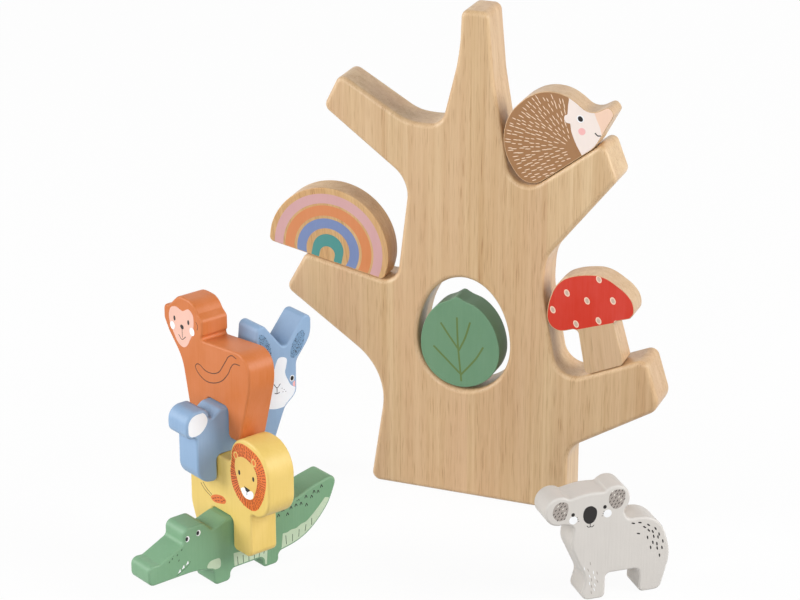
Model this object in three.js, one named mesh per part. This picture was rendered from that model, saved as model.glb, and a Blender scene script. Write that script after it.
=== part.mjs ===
// Stacking balance toy: a sawn wooden tree, four pieces that rest in it and five animals.
// Millimetres, +Z up. The origin is the middle of the tree's foot on the floor, and the tree
// faces -Y. Every piece is a board sawn to an outline in its own XZ plane, with rounded rims.
import * as THREE from "three";

// Boards and rims
const TREE_THICKNESS = 26;
const ANIMAL_THICKNESS = 18;
const CHARM_THICKNESS = 15;
const TREE_RIM = 3;
const ANIMAL_RIM = 1.4;
const CHARM_RIM = 0.8;
const RIM_STEPS = 2;
const ARC_STEP_DEGREES = 16;

// Fits: the gap between two pieces that touch, the play of an arch on each side of the back that
// it straddles, and how far the pieces in the tree stand behind its front face
const CLEARANCE = 0.3;
const ARCH_PLAY = 1;
const CHARM_SETBACK = 1;

// Tree: foot, waist and the narrow top. Heights up the tree are shares of its own height.
const TREE_HEIGHT = 300;
const FOOT_WIDTH = 124;
const FOOT_ROUND = 5;
const LEFT_WAIST_X = -51.2;
const LEFT_WAIST_Z = 0.24 * TREE_HEIGHT;
const LEFT_WAIST_ROUND = 38;
const RIGHT_WAIST_X = 62;
const RIGHT_WAIST_Z = 0.137 * TREE_HEIGHT;
const RIGHT_WAIST_ROUND = 16;
const TOP_LEFT_X = -6.5;
const TOP_WIDTH = 16;
const TOP_ROUND = 4.5;
const TOP_TAPER_LEFT_X = -7.5;
const TOP_TAPER_LEFT_Z = 0.913 * TREE_HEIGHT;
const TOP_TAPER_RIGHT_X = 13;
const TOP_TAPER_RIGHT_Z = 0.873 * TREE_HEIGHT;
const TAPER_ROUND = 80;
const TIP_ROUND = 5;
const CRISP_TIP_ROUND = 4;
const BLUNT_TIP_ROUND = 9;

// Tree: its four branches. X and Z give the corner where the branch's upper edge meets the trunk,
// the rise is its slope, the length runs along the upper edge, the tip is the sawn end, the cut
// is the angle between the two, and the fork rounds the corner at the trunk.
const LOW_LEFT_X = -45.5;
const LOW_LEFT_Z = 0.43 * TREE_HEIGHT;
const LOW_LEFT_RISE_DEGREES = 11.5;
const LOW_LEFT_LENGTH = 59;
const LOW_LEFT_TIP = 27;
const LOW_LEFT_CUT_DEGREES = 73;
const LOW_LEFT_FORK = 10;

const HIGH_LEFT_X = -39;
const HIGH_LEFT_Z = 0.768 * TREE_HEIGHT;
const HIGH_LEFT_RISE_DEGREES = 30;
const HIGH_LEFT_LENGTH = 48;
const HIGH_LEFT_TIP = 23.5;
const HIGH_LEFT_CUT_DEGREES = 94;
const HIGH_LEFT_FORK = 26;
const HIGH_LEFT_FLOOR_X = -18;
const HIGH_LEFT_FLOOR_ROUND = 10;
const HIGH_LEFT_UNDER_X = -37.8;
const HIGH_LEFT_UNDER_Z = 0.647 * TREE_HEIGHT;
const HIGH_LEFT_UNDER_ROUND = 20;

const HIGH_RIGHT_X = 25.4;
const HIGH_RIGHT_Z = 0.6355 * TREE_HEIGHT;
const HIGH_RIGHT_RISE_DEGREES = 37.5;
const HIGH_RIGHT_LENGTH = 67.6;
const HIGH_RIGHT_TIP = 23;
const HIGH_RIGHT_CUT_DEGREES = 106;
const HIGH_RIGHT_FORK = 13;
const HIGH_RIGHT_UNDER_X = 46.5;
const HIGH_RIGHT_UNDER_Z = 0.528 * TREE_HEIGHT;
const HIGH_RIGHT_UNDER_ROUND = 18;

const LOW_RIGHT_X = 55;
const LOW_RIGHT_Z = 0.273 * TREE_HEIGHT;
const LOW_RIGHT_RISE_DEGREES = 23.5;
const LOW_RIGHT_LENGTH = 57.5;
const LOW_RIGHT_TIP = 31.5;
const LOW_RIGHT_CUT_DEGREES = 96;
const LOW_RIGHT_FORK = 13;
const TRUNK_RIGHT_X = 44.3;
const TRUNK_RIGHT_Z = 0.463 * TREE_HEIGHT;
const TRUNK_RIGHT_ROUND = 70;

// Leaf, and the egg-shaped hole that it stands in
const LEAF_WIDTH = 49;
const LEAF_HEIGHT = 55;
const LEAF_BELLY_Z = 24.5;
const LEAF_POINT_WIDTH = 9;
const LEAF_POINT_HEIGHT = 2.2;
const LEAF_POINT_ROUND = 2.6;
const LEAF_SIDE_ROOM = 4.1;
const LEAF_HEAD_ROOM = 15.5;
const LEAF_LEAN = 4;
const LEAF_SHIFT = -0.3;
const HOLE_X = -3.5;
const HOLE_BOTTOM = 0.228 * TREE_HEIGHT;
const HOLE_BELLY_Z = 30;

// Rainbow: a disc cut off by its flat base
const RAINBOW_RADIUS = 38;
const RAINBOW_BASE_DROP = 7;
const RAINBOW_BASE_ROUND = 3;

// Hedgehog, its snout towards +X
const HEDGEHOG_LENGTH = 70.8;
const HEDGEHOG_HEIGHT = 44.5;
const HEDGEHOG_BODY = 51;
const HEDGEHOG_BASE = 49.4;
const HEDGEHOG_REAR_ROUND = 30;
const HEDGEHOG_CROWN_ROUND = 24;
const HEDGEHOG_SEAT_ROUND = 11;
const HEDGEHOG_CHEST_ROUND = 18;
const HEDGEHOG_NOSE_Z = 9.8;
const HEDGEHOG_NOSE_TIP = 5.6;
const HEDGEHOG_NOSE_ROUND = 2.8;
const HEDGEHOG_BROW_X = 58.5;
const HEDGEHOG_BROW_Z = 17;
const HEDGEHOG_BROW_ROUND = 9;

// Mushroom: the cap's brim slopes and leans out to the right, and its crown slopes with it
const CAP_WIDTH = 53.6;
const CAP_HEIGHT = 31.4;
const CAP_LEAN = 2.8;
const CAP_BRIM_SLOPE = 4.4;
const CAP_BRIM_ROUND = 5.5;
const CAP_REAR_ROUND = 9;
const CAP_SHOULDER_HEIGHT = 0.42 * CAP_HEIGHT;
const CAP_SHOULDER_ROUND = 9;
const CAP_CROWN_LEFT_X = -0.17 * CAP_WIDTH;
const CAP_CROWN_RIGHT_X = 0.3 * CAP_WIDTH;
const CAP_CROWN_SLOPE = 0.08 * CAP_HEIGHT;
const CAP_CROWN_ROUND = 10;
const STEM_HEIGHT = 27.2;
const STEM_FOOT_WIDTH = 25;
const STEM_NECK_WIDTH = 22;
const STEM_ROUND = 3;
const STEM_FOOT_SHIFT = -5;

// Animals: the rounding of toes, arches and creases that they share
const TOE_ROUND = 3;
const HEEL_ROUND = 4.5;
const ARCH_ROUND = 3;
const CREASE_ROUND = 3;

// Crocodile. Lengths along X are measured from the middle of the seat on its back.
const CROCODILE_BACK = 38.6;
const CROCODILE_SEAT_HALF = 12;
const CROCODILE_NOSE_X = -65.5;
const CROCODILE_NOSE_TOP = 25.8;
const CROCODILE_NOSTRIL_X = -57.8;
const CROCODILE_NOSTRIL_Z = 25.2;
const CROCODILE_NOSE_ROUND = 4;
const CROCODILE_JAW_Z = 13.3;
const CROCODILE_THROAT_X = -33;
const CROCODILE_THROAT_DROP = 3.7;
const CROCODILE_BROW_X = -41.8;
const CROCODILE_BROW_FOOT = 32.5;
const CROCODILE_BROW_LENGTH = 14;
const CROCODILE_BROW_TOP = 41.3;
const CROCODILE_BROW_ROUND = 4.4;
const CROCODILE_NAPE_X = -22.5;
const CROCODILE_NAPE_Z = 35.3;
const CROCODILE_FORE_FOOT_X = -21.5;
const CROCODILE_HIND_FOOT_X = 12.2;
const CROCODILE_FOOT_LENGTH = 11.4;
const CROCODILE_BELLY_Z = 6.7;
const CROCODILE_TAIL_X = 66.5;
const CROCODILE_TAIL_TOP = 44;
const CROCODILE_TAIL_DIP_X = 26;
const CROCODILE_TAIL_DIP_Z = 32.4;
const CROCODILE_TAIL_RISE_X = 47;
const CROCODILE_TAIL_RISE_Z = 40.4;
const CROCODILE_TAIL_ROUND = 36;
const CROCODILE_TAIL_UNDER_X = 43;
const CROCODILE_TAIL_UNDER_Z = 9.5;
const CROCODILE_TAIL_HEEL_X = 61.5;
const CROCODILE_TAIL_HEEL_Z = 26.6;

// Lion. Lengths along X are measured from the middle of its arch, as on each animal below.
const LION_ARCH_RISE = 19;
const LION_HIND_FOOT = 24;
const LION_FORE_FOOT = 27;
const LION_RUMP = 30;
const LION_HIP_Z = 15;
const LION_HIP_ROUND = 16;
const LION_BACK = 53;
const LION_BACK_ROUND = 20;
const LION_SEAT_X = -10.6;
const LION_NECK_X = 8.8;
const LION_CHIN = 27.5;
const LION_HEAD_WIDTH = 35.5;
const LION_HEAD_HEIGHT = 43.5;
const LION_HEAD_ROUND = 17.6;

// Rabbit
const RABBIT_ARCH_RISE = 15;
const RABBIT_HIND_FOOT = 23.5;
const RABBIT_FORE_FOOT = 25;
const RABBIT_HAUNCH_ROUND = 12;
const RABBIT_BACK = 42.3;
const RABBIT_BACK_END = -7;
const RABBIT_SEAT_X = 5.9;
const RABBIT_TAIL_X = -22.5;
const RABBIT_TAIL_Z = 37.2;
const RABBIT_TAIL_RADIUS = 7.8;
const RABBIT_HEAD_X = 18;
const RABBIT_HEAD_WIDTH = 28.3;
const RABBIT_CHIN = 37.5;
const RABBIT_CHIN_ROUND = 7;
const RABBIT_CHEST_X = 38;
const RABBIT_CHEST_Z = 31;
const RABBIT_CHEST_ROUND = 8;
const RABBIT_BROW = 57;
const RABBIT_EAR_TOP = 89.2;
const RABBIT_EAR_ROUND = 3.6;
const RABBIT_EAR_SPREAD = 10.6;
const RABBIT_EAR_LEAN = 2;
const RABBIT_EAR_SIDE_Z = 70;
const RABBIT_EAR_SIDE_ROUND = 16;
const RABBIT_EAR_NOTCH_X = 38;
const RABBIT_EAR_NOTCH_Z = 66.5;

// Monkey
const MONKEY_ARCH_RISE = 18;
const MONKEY_FORE_FOOT = 25;
const MONKEY_HIND_FOOT = 20.5;
const MONKEY_RUMP = 30.8;
const MONKEY_RUMP_Z = 36;
const MONKEY_RUMP_ROUND = 26;
const MONKEY_BACK = 55.3;
const MONKEY_BACK_ROUND = 11;
const MONKEY_NECK_X = -15.8;
const MONKEY_NECK_Z = 50.2;
const MONKEY_EAR_LOW = 53.6;
const MONKEY_EAR_HEIGHT = 8.6;
const MONKEY_EAR_ROUND = 3.3;
const MONKEY_EAR_RIGHT_X = -12.4;
const MONKEY_EAR_LEFT_X = -49.3;
const MONKEY_TEMPLE_RIGHT_X = -16.6;
const MONKEY_TEMPLE_LEFT_X = -44.8;
const MONKEY_TEMPLE_RISE = 3;
const MONKEY_CROWN = 71;
const MONKEY_CROWN_X = -21;
const MONKEY_CROWN_WIDTH = 14;
const MONKEY_CROWN_ROUND = 10;
const MONKEY_JAW_Z = 46.5;
const MONKEY_JAW_ROUND = 8;
const MONKEY_CHEST_X = -32.8;
const MONKEY_CHEST_Z = 34;
const MONKEY_CHEST_ROUND = 24;

// Koala
const KOALA_ARCH_RISE = 14.9;
const KOALA_FORE_FOOT = 25.5;
const KOALA_HIND_FOOT = 23;
const KOALA_ANKLE_X = -21.8;
const KOALA_ANKLE_Z = 13.5;
const KOALA_ANKLE_ROUND = 8;
const KOALA_BREAST_X = -31.2;
const KOALA_BREAST_Z = 34;
const KOALA_BREAST_ROUND = 12;
const KOALA_CHEST_X = -29.5;
const KOALA_CHEST_Z = 46.9;
const KOALA_RUMP = 29;
const KOALA_RUMP_Z = 22;
const KOALA_RUMP_ROUND = 24;
const KOALA_BACK_X = 21.5;
const KOALA_BACK = 46.4;
const KOALA_BACK_ROUND = 16;
const KOALA_NECK_X = 2;
const KOALA_EAR_RADIUS = 8.6;
const KOALA_RIGHT_EAR_FROM_DEGREES = -55;
const KOALA_RIGHT_EAR_TO_DEGREES = 140;
const KOALA_LEFT_EAR_FROM_DEGREES = 50;
const KOALA_LEFT_EAR_TO_DEGREES = 285;
const KOALA_LEFT_EAR_X = -38;
const KOALA_LEFT_EAR_Z = 56.9;
const KOALA_RIGHT_EAR_X = -5.2;
const KOALA_RIGHT_EAR_Z = 59.4;
const KOALA_CROWN_X = -20;
const KOALA_CROWN = 66.2;
const KOALA_CROWN_ROUND = 36;

// Where the animals stand on the floor, and their turns about Z in degrees
const STACK_X = -89.1;
const STACK_Y = -149.2;
const STACK_TURN = 60.7;
const KOALA_X = 117.7;
const KOALA_Y = -92.7;
const KOALA_TURN = 39.7;

// Share of an edge that its two corner roundings may use up together
const EDGE_SHARE = 0.98;
// The first and last step of the search that pushes a piece towards the trunk
const PUSH_STEP = 1;
const PUSH_END = 0.005;

const radians = THREE.MathUtils.degToRad;

// A closed outline from corners, each [x, z, radius]: straight edges joined by arcs, with the
// arcs limited where two of them share a short edge.
function roundedOutline(corners) {
  const count = corners.length;
  const bends = corners.map(([x, z, radius], i) => {
    const here = new THREE.Vector2(x, z);
    const [px, pz] = corners[(i + count - 1) % count];
    const [nx, nz] = corners[(i + 1) % count];
    const back = new THREE.Vector2(px, pz).sub(here);
    const ahead = new THREE.Vector2(nx, nz).sub(here);
    const edge = ahead.length();
    back.normalize();
    ahead.normalize();
    const half = Math.acos(THREE.MathUtils.clamp(back.dot(ahead), -1, 1)) / 2;
    return { here, back, ahead, edge, half, wanted: radius / Math.tan(half) };
  });
  const shares = bends.map(({ edge, wanted }, i) => {
    const both = wanted + bends[(i + 1) % count].wanted;
    return Math.min(1, (EDGE_SHARE * edge) / Math.max(both, CLEARANCE));
  });
  return bends.flatMap(({ here, back, ahead, half, wanted }, i) => {
    const reach = wanted * Math.min(shares[i], shares[(i + count - 1) % count]);
    if (reach === 0) return [here];
    const toCentre = (reach * Math.tan(half)) / Math.sin(half);
    const centre = back.clone().add(ahead).setLength(toCentre).add(here);
    const start = here.clone().addScaledVector(back, reach);
    const sweep = (Math.PI - 2 * half) * Math.sign(ahead.cross(back));
    const steps = Math.ceil(Math.abs(sweep) / radians(ARC_STEP_DEGREES));
    return Array.from({ length: steps + 1 }, (_, k) =>
      start.clone().rotateAround(centre, (sweep * k) / steps),
    );
  });
}

// Points of an arc about (x, z), from one angle to another in degrees.
function arcPoints(x, z, radiusX, radiusZ, from, to) {
  const steps = Math.ceil(Math.abs(to - from) / ARC_STEP_DEGREES);
  return Array.from({ length: steps + 1 }, (_, k) => {
    const angle = radians(from + ((to - from) * k) / steps);
    return new THREE.Vector2(x + radiusX * Math.cos(angle), z + radiusZ * Math.sin(angle));
  });
}

// A board sawn to an outline in the XZ plane, centred on y = 0, with both rims rounded.
function sawnBoard(outline, thickness, rim, holes = []) {
  const shape = new THREE.Shape(outline);
  shape.holes = holes.map((points) => new THREE.Path(points));
  const geometry = new THREE.ExtrudeGeometry(shape, {
    depth: thickness - 2 * rim,
    bevelThickness: rim,
    bevelSize: rim,
    bevelOffset: -rim,
    bevelSegments: RIM_STEPS,
  });
  geometry.translate(0, 0, rim - thickness / 2);
  geometry.rotateX(Math.PI / 2);
  return geometry;
}

function piece(name, geometry, color, roughness) {
  const material = new THREE.MeshStandardMaterial({ color, roughness, metalness: 0 });
  const mesh = new THREE.Mesh(geometry, material);
  mesh.name = name;
  return mesh;
}

// A branch's upper edge and sawn end. The side is 1 for a branch to the right and -1 to the left.
function branch(side, x, z, length, tip, rise, cut) {
  const corner = new THREE.Vector2(x, z);
  const along = new THREE.Vector2(side * Math.cos(radians(rise)), Math.sin(radians(rise)));
  const upper = corner.clone().addScaledVector(along, length);
  const endwise = along.clone().rotateAround(new THREE.Vector2(), -side * radians(cut));
  const lower = upper.clone().addScaledVector(endwise, tip);
  return { side, corner, along, rise: side * rise, length, upper, lower };
}

const lowLeft = branch(
  -1, LOW_LEFT_X, LOW_LEFT_Z, LOW_LEFT_LENGTH, LOW_LEFT_TIP,
  LOW_LEFT_RISE_DEGREES, LOW_LEFT_CUT_DEGREES,
);
const highLeft = branch(
  -1, HIGH_LEFT_X, HIGH_LEFT_Z, HIGH_LEFT_LENGTH, HIGH_LEFT_TIP,
  HIGH_LEFT_RISE_DEGREES, HIGH_LEFT_CUT_DEGREES,
);
const highRight = branch(
  1, HIGH_RIGHT_X, HIGH_RIGHT_Z, HIGH_RIGHT_LENGTH, HIGH_RIGHT_TIP,
  HIGH_RIGHT_RISE_DEGREES, HIGH_RIGHT_CUT_DEGREES,
);
const lowRight = branch(
  1, LOW_RIGHT_X, LOW_RIGHT_Z, LOW_RIGHT_LENGTH, LOW_RIGHT_TIP,
  LOW_RIGHT_RISE_DEGREES, LOW_RIGHT_CUT_DEGREES,
);

// The tree's outline, anticlockwise from the left end of its foot.
function treeOutline() {
  const tip = ({ x, y }, radius = TIP_ROUND) => [x, y, radius];
  return roundedOutline([
    [-FOOT_WIDTH / 2, 0, FOOT_ROUND],
    [FOOT_WIDTH / 2, 0, FOOT_ROUND],
    [RIGHT_WAIST_X, RIGHT_WAIST_Z, RIGHT_WAIST_ROUND],
    tip(lowRight.lower, BLUNT_TIP_ROUND),
    tip(lowRight.upper),
    [LOW_RIGHT_X, LOW_RIGHT_Z, LOW_RIGHT_FORK],
    [TRUNK_RIGHT_X, TRUNK_RIGHT_Z, TRUNK_RIGHT_ROUND],
    [HIGH_RIGHT_UNDER_X, HIGH_RIGHT_UNDER_Z, HIGH_RIGHT_UNDER_ROUND],
    tip(highRight.lower),
    tip(highRight.upper, CRISP_TIP_ROUND),
    [HIGH_RIGHT_X, HIGH_RIGHT_Z, HIGH_RIGHT_FORK],
    [TOP_TAPER_RIGHT_X, TOP_TAPER_RIGHT_Z, TAPER_ROUND],
    [TOP_LEFT_X + TOP_WIDTH, TREE_HEIGHT, TOP_ROUND],
    [TOP_LEFT_X, TREE_HEIGHT, TOP_ROUND],
    [TOP_TAPER_LEFT_X, TOP_TAPER_LEFT_Z, TAPER_ROUND],
    [HIGH_LEFT_FLOOR_X, HIGH_LEFT_Z, HIGH_LEFT_FLOOR_ROUND],
    [HIGH_LEFT_X, HIGH_LEFT_Z, HIGH_LEFT_FORK],
    tip(highLeft.upper),
    tip(highLeft.lower),
    [HIGH_LEFT_UNDER_X, HIGH_LEFT_UNDER_Z, HIGH_LEFT_UNDER_ROUND],
    [LOW_LEFT_X, LOW_LEFT_Z, LOW_LEFT_FORK],
    tip(lowLeft.upper),
    tip(lowLeft.lower),
    [LEFT_WAIST_X, LEFT_WAIST_Z, LEFT_WAIST_ROUND],
  ]);
}

// An egg that stands on z = 0: half an ellipse below its widest place and a longer half above,
// from one angle round to the same angle on the other side of its top.
function eggPoints(x, bottom, halfWidth, bellyZ, height, from) {
  const middle = bottom + bellyZ;
  return [
    ...arcPoints(x, middle, halfWidth, height - bellyZ, 180 - from, 180),
    ...arcPoints(x, middle, halfWidth, bellyZ, 180, 360).slice(1, -1),
    ...arcPoints(x, middle, halfWidth, height - bellyZ, 0, from),
  ];
}

function holeOutline() {
  const halfWidth = LEAF_WIDTH / 2 + LEAF_SIDE_ROOM;
  const height = LEAF_HEIGHT + LEAF_HEAD_ROOM;
  return eggPoints(HOLE_X, HOLE_BOTTOM, halfWidth, HOLE_BELLY_Z, height, 90).slice(1);
}

// The leaf stands on its round end, with a small blunt point on top.
function leafOutline() {
  const halfWidth = LEAF_WIDTH / 2;
  const from = THREE.MathUtils.radToDeg(Math.acos(LEAF_POINT_WIDTH / LEAF_WIDTH));
  const body = eggPoints(0, 0, halfWidth, LEAF_BELLY_Z, LEAF_HEIGHT, from);
  return roundedOutline([
    [0, LEAF_HEIGHT + LEAF_POINT_HEIGHT, LEAF_POINT_ROUND],
    ...body.map(({ x, y }) => [x, y, 0]),
  ]);
}

function rainbowOutline() {
  const dip = THREE.MathUtils.radToDeg(Math.asin(RAINBOW_BASE_DROP / RAINBOW_RADIUS));
  const rim = arcPoints(
    0, RAINBOW_BASE_DROP, RAINBOW_RADIUS, RAINBOW_RADIUS, -dip, 180 + dip,
  );
  const last = rim.length - 1;
  return roundedOutline(
    rim.map(({ x, y }, i) => [x, y, i === 0 || i === last ? RAINBOW_BASE_ROUND : 0]),
  );
}

function hedgehogOutline() {
  return roundedOutline([
    [0, 0, HEDGEHOG_SEAT_ROUND],
    [HEDGEHOG_BASE, 0, HEDGEHOG_CHEST_ROUND],
    [HEDGEHOG_LENGTH, HEDGEHOG_NOSE_Z, HEDGEHOG_NOSE_ROUND],
    [HEDGEHOG_LENGTH, HEDGEHOG_NOSE_Z + HEDGEHOG_NOSE_TIP, HEDGEHOG_NOSE_ROUND],
    [HEDGEHOG_BROW_X, HEDGEHOG_BROW_Z, HEDGEHOG_BROW_ROUND],
    [HEDGEHOG_BODY, HEDGEHOG_HEIGHT, HEDGEHOG_CROWN_ROUND],
    [0, HEDGEHOG_HEIGHT, HEDGEHOG_REAR_ROUND],
  ]);
}

function mushroomOutline() {
  const brim = CAP_WIDTH / 2;
  const crown = STEM_HEIGHT + CAP_HEIGHT;
  const under = (x, radius) => [x, STEM_HEIGHT - (CAP_BRIM_SLOPE * x) / CAP_WIDTH, radius];
  return roundedOutline([
    [STEM_FOOT_SHIFT - STEM_FOOT_WIDTH / 2, 0, STEM_ROUND],
    [STEM_FOOT_SHIFT + STEM_FOOT_WIDTH / 2, 0, STEM_ROUND],
    under(STEM_NECK_WIDTH / 2, STEM_ROUND),
    under(brim + CAP_LEAN, CAP_BRIM_ROUND),
    [CAP_CROWN_RIGHT_X, crown - CAP_CROWN_SLOPE, CAP_CROWN_ROUND],
    [CAP_CROWN_LEFT_X, crown, CAP_CROWN_ROUND],
    [-brim, STEM_HEIGHT + CAP_SHOULDER_HEIGHT, CAP_SHOULDER_ROUND],
    under(-brim, CAP_REAR_ROUND),
    under(-STEM_NECK_WIDTH / 2, STEM_ROUND),
  ]);
}

// The four corners of the arch between an animal's legs, wide enough for a back to pass through.
function archCorners(rise) {
  const half = ANIMAL_THICKNESS / 2 + ARCH_PLAY;
  return [
    [-half, 0, TOE_ROUND],
    [-half, rise, ARCH_ROUND],
    [half, rise, ARCH_ROUND],
    [half, 0, TOE_ROUND],
  ];
}

function crocodileFoot(x) {
  return [
    [x, CROCODILE_BELLY_Z, CREASE_ROUND],
    [x, 0, TOE_ROUND],
    [x + CROCODILE_FOOT_LENGTH, 0, TOE_ROUND],
    [x + CROCODILE_FOOT_LENGTH, CROCODILE_BELLY_Z, CREASE_ROUND],
  ];
}

function crocodileOutline() {
  return roundedOutline([
    [CROCODILE_NOSE_X, CROCODILE_JAW_Z, CROCODILE_NOSE_ROUND],
    [CROCODILE_THROAT_X, CROCODILE_JAW_Z, CROCODILE_TAIL_ROUND],
    [CROCODILE_FORE_FOOT_X, CROCODILE_JAW_Z - CROCODILE_THROAT_DROP, CREASE_ROUND],
    ...crocodileFoot(CROCODILE_FORE_FOOT_X).slice(1),
    ...crocodileFoot(CROCODILE_HIND_FOOT_X),
    [CROCODILE_TAIL_UNDER_X, CROCODILE_TAIL_UNDER_Z, CROCODILE_TAIL_ROUND],
    [CROCODILE_TAIL_HEEL_X, CROCODILE_TAIL_HEEL_Z, CROCODILE_TAIL_ROUND],
    [CROCODILE_TAIL_X, CROCODILE_TAIL_TOP, CROCODILE_NOSE_ROUND],
    [CROCODILE_TAIL_RISE_X, CROCODILE_TAIL_RISE_Z, CROCODILE_TAIL_ROUND],
    [CROCODILE_TAIL_DIP_X, CROCODILE_TAIL_DIP_Z, CROCODILE_TAIL_ROUND],
    [CROCODILE_SEAT_HALF, CROCODILE_BACK, CROCODILE_BROW_ROUND],
    [-CROCODILE_SEAT_HALF, CROCODILE_BACK, CROCODILE_BROW_ROUND],
    [CROCODILE_NAPE_X, CROCODILE_NAPE_Z, CREASE_ROUND],
    [CROCODILE_BROW_X + CROCODILE_BROW_LENGTH, CROCODILE_BROW_TOP, CROCODILE_BROW_ROUND],
    [CROCODILE_BROW_X, CROCODILE_BROW_TOP, CROCODILE_BROW_ROUND],
    [CROCODILE_BROW_X, CROCODILE_BROW_FOOT, CREASE_ROUND],
    [CROCODILE_NOSTRIL_X, CROCODILE_NOSTRIL_Z, CREASE_ROUND],
    [CROCODILE_NOSE_X, CROCODILE_NOSE_TOP, CROCODILE_NOSE_ROUND],
  ]);
}

function lionOutline() {
  const face = LION_NECK_X + LION_HEAD_WIDTH;
  const crown = LION_CHIN + LION_HEAD_HEIGHT;
  return roundedOutline([
    [-LION_HIND_FOOT, 0, HEEL_ROUND],
    ...archCorners(LION_ARCH_RISE),
    [LION_FORE_FOOT, 0, HEEL_ROUND],
    [LION_FORE_FOOT, LION_CHIN, CREASE_ROUND],
    [face, LION_CHIN, LION_HEAD_ROUND],
    [face, crown, LION_HEAD_ROUND],
    [LION_NECK_X, crown, LION_HEAD_ROUND],
    [LION_NECK_X, LION_BACK, CREASE_ROUND],
    [-LION_RUMP, LION_BACK, LION_BACK_ROUND],
    [-LION_RUMP, LION_HIP_Z, LION_HIP_ROUND],
  ]);
}

function rabbitOutline() {
  const cheek = RABBIT_HEAD_X + RABBIT_HEAD_WIDTH;
  const tailLeft = RABBIT_TAIL_X - RABBIT_TAIL_RADIUS;
  const tailRight = RABBIT_TAIL_X + RABBIT_TAIL_RADIUS;
  const tailTop = RABBIT_TAIL_Z + RABBIT_TAIL_RADIUS;
  const tailFoot = RABBIT_TAIL_Z - RABBIT_TAIL_RADIUS;
  return roundedOutline([
    [-RABBIT_HIND_FOOT, 0, RABBIT_HAUNCH_ROUND],
    ...archCorners(RABBIT_ARCH_RISE),
    [RABBIT_FORE_FOOT, 0, HEEL_ROUND],
    [RABBIT_CHEST_X, RABBIT_CHEST_Z, RABBIT_CHEST_ROUND],
    [cheek, RABBIT_CHIN, RABBIT_CHIN_ROUND],
    [cheek, RABBIT_BROW, RABBIT_CHIN_ROUND],
    [cheek + RABBIT_EAR_SPREAD, RABBIT_EAR_SIDE_Z, RABBIT_EAR_SIDE_ROUND],
    [cheek + RABBIT_EAR_SPREAD, RABBIT_EAR_TOP, RABBIT_EAR_ROUND],
    [RABBIT_EAR_NOTCH_X, RABBIT_EAR_NOTCH_Z, CREASE_ROUND],
    [RABBIT_HEAD_X + RABBIT_EAR_LEAN, RABBIT_EAR_TOP, RABBIT_EAR_ROUND],
    [RABBIT_HEAD_X, RABBIT_EAR_SIDE_Z, RABBIT_EAR_SIDE_ROUND],
    [RABBIT_HEAD_X, RABBIT_BACK, CREASE_ROUND],
    [RABBIT_BACK_END, RABBIT_BACK, HEEL_ROUND],
    [tailRight, RABBIT_TAIL_Z, CREASE_ROUND],
    [tailRight, tailTop, RABBIT_TAIL_RADIUS],
    [tailLeft, tailTop, RABBIT_TAIL_RADIUS],
    [tailLeft, tailFoot, RABBIT_TAIL_RADIUS],
    [-RABBIT_HIND_FOOT, tailFoot, CREASE_ROUND],
  ]);
}

// The monkey's two ears stand out at the same height on the sides of its head.
function monkeyOutline() {
  const earTop = MONKEY_EAR_LOW + MONKEY_EAR_HEIGHT;
  return roundedOutline([
    [-MONKEY_FORE_FOOT, 0, HEEL_ROUND],
    ...archCorners(MONKEY_ARCH_RISE),
    [MONKEY_HIND_FOOT, 0, HEEL_ROUND],
    [MONKEY_RUMP, MONKEY_RUMP_Z, MONKEY_RUMP_ROUND],
    [MONKEY_RUMP, MONKEY_BACK, MONKEY_BACK_ROUND],
    [MONKEY_NECK_X, MONKEY_NECK_Z, CREASE_ROUND],
    [MONKEY_EAR_RIGHT_X, MONKEY_EAR_LOW, MONKEY_EAR_ROUND],
    [MONKEY_EAR_RIGHT_X, earTop, MONKEY_EAR_ROUND],
    [MONKEY_TEMPLE_RIGHT_X, earTop + MONKEY_TEMPLE_RISE, CREASE_ROUND],
    [MONKEY_CROWN_X, MONKEY_CROWN, MONKEY_CROWN_ROUND],
    [MONKEY_CROWN_X - MONKEY_CROWN_WIDTH, MONKEY_CROWN, MONKEY_CROWN_ROUND],
    [MONKEY_TEMPLE_LEFT_X, earTop, CREASE_ROUND],
    [MONKEY_EAR_LEFT_X, earTop, MONKEY_EAR_ROUND],
    [MONKEY_EAR_LEFT_X, MONKEY_EAR_LOW, MONKEY_EAR_ROUND],
    [MONKEY_TEMPLE_LEFT_X, MONKEY_JAW_Z, MONKEY_JAW_ROUND],
    [MONKEY_CHEST_X, MONKEY_CHEST_Z, MONKEY_CHEST_ROUND],
  ]);
}

// Corners along the round edge of a koala's ear, with a crease at each end where it meets the head.
function earCorners(x, z, from, to) {
  const edge = arcPoints(x, z, KOALA_EAR_RADIUS, KOALA_EAR_RADIUS, from, to);
  const last = edge.length - 1;
  return edge.map((p, i) => [p.x, p.y, i === 0 || i === last ? CREASE_ROUND : 0]);
}

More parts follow.
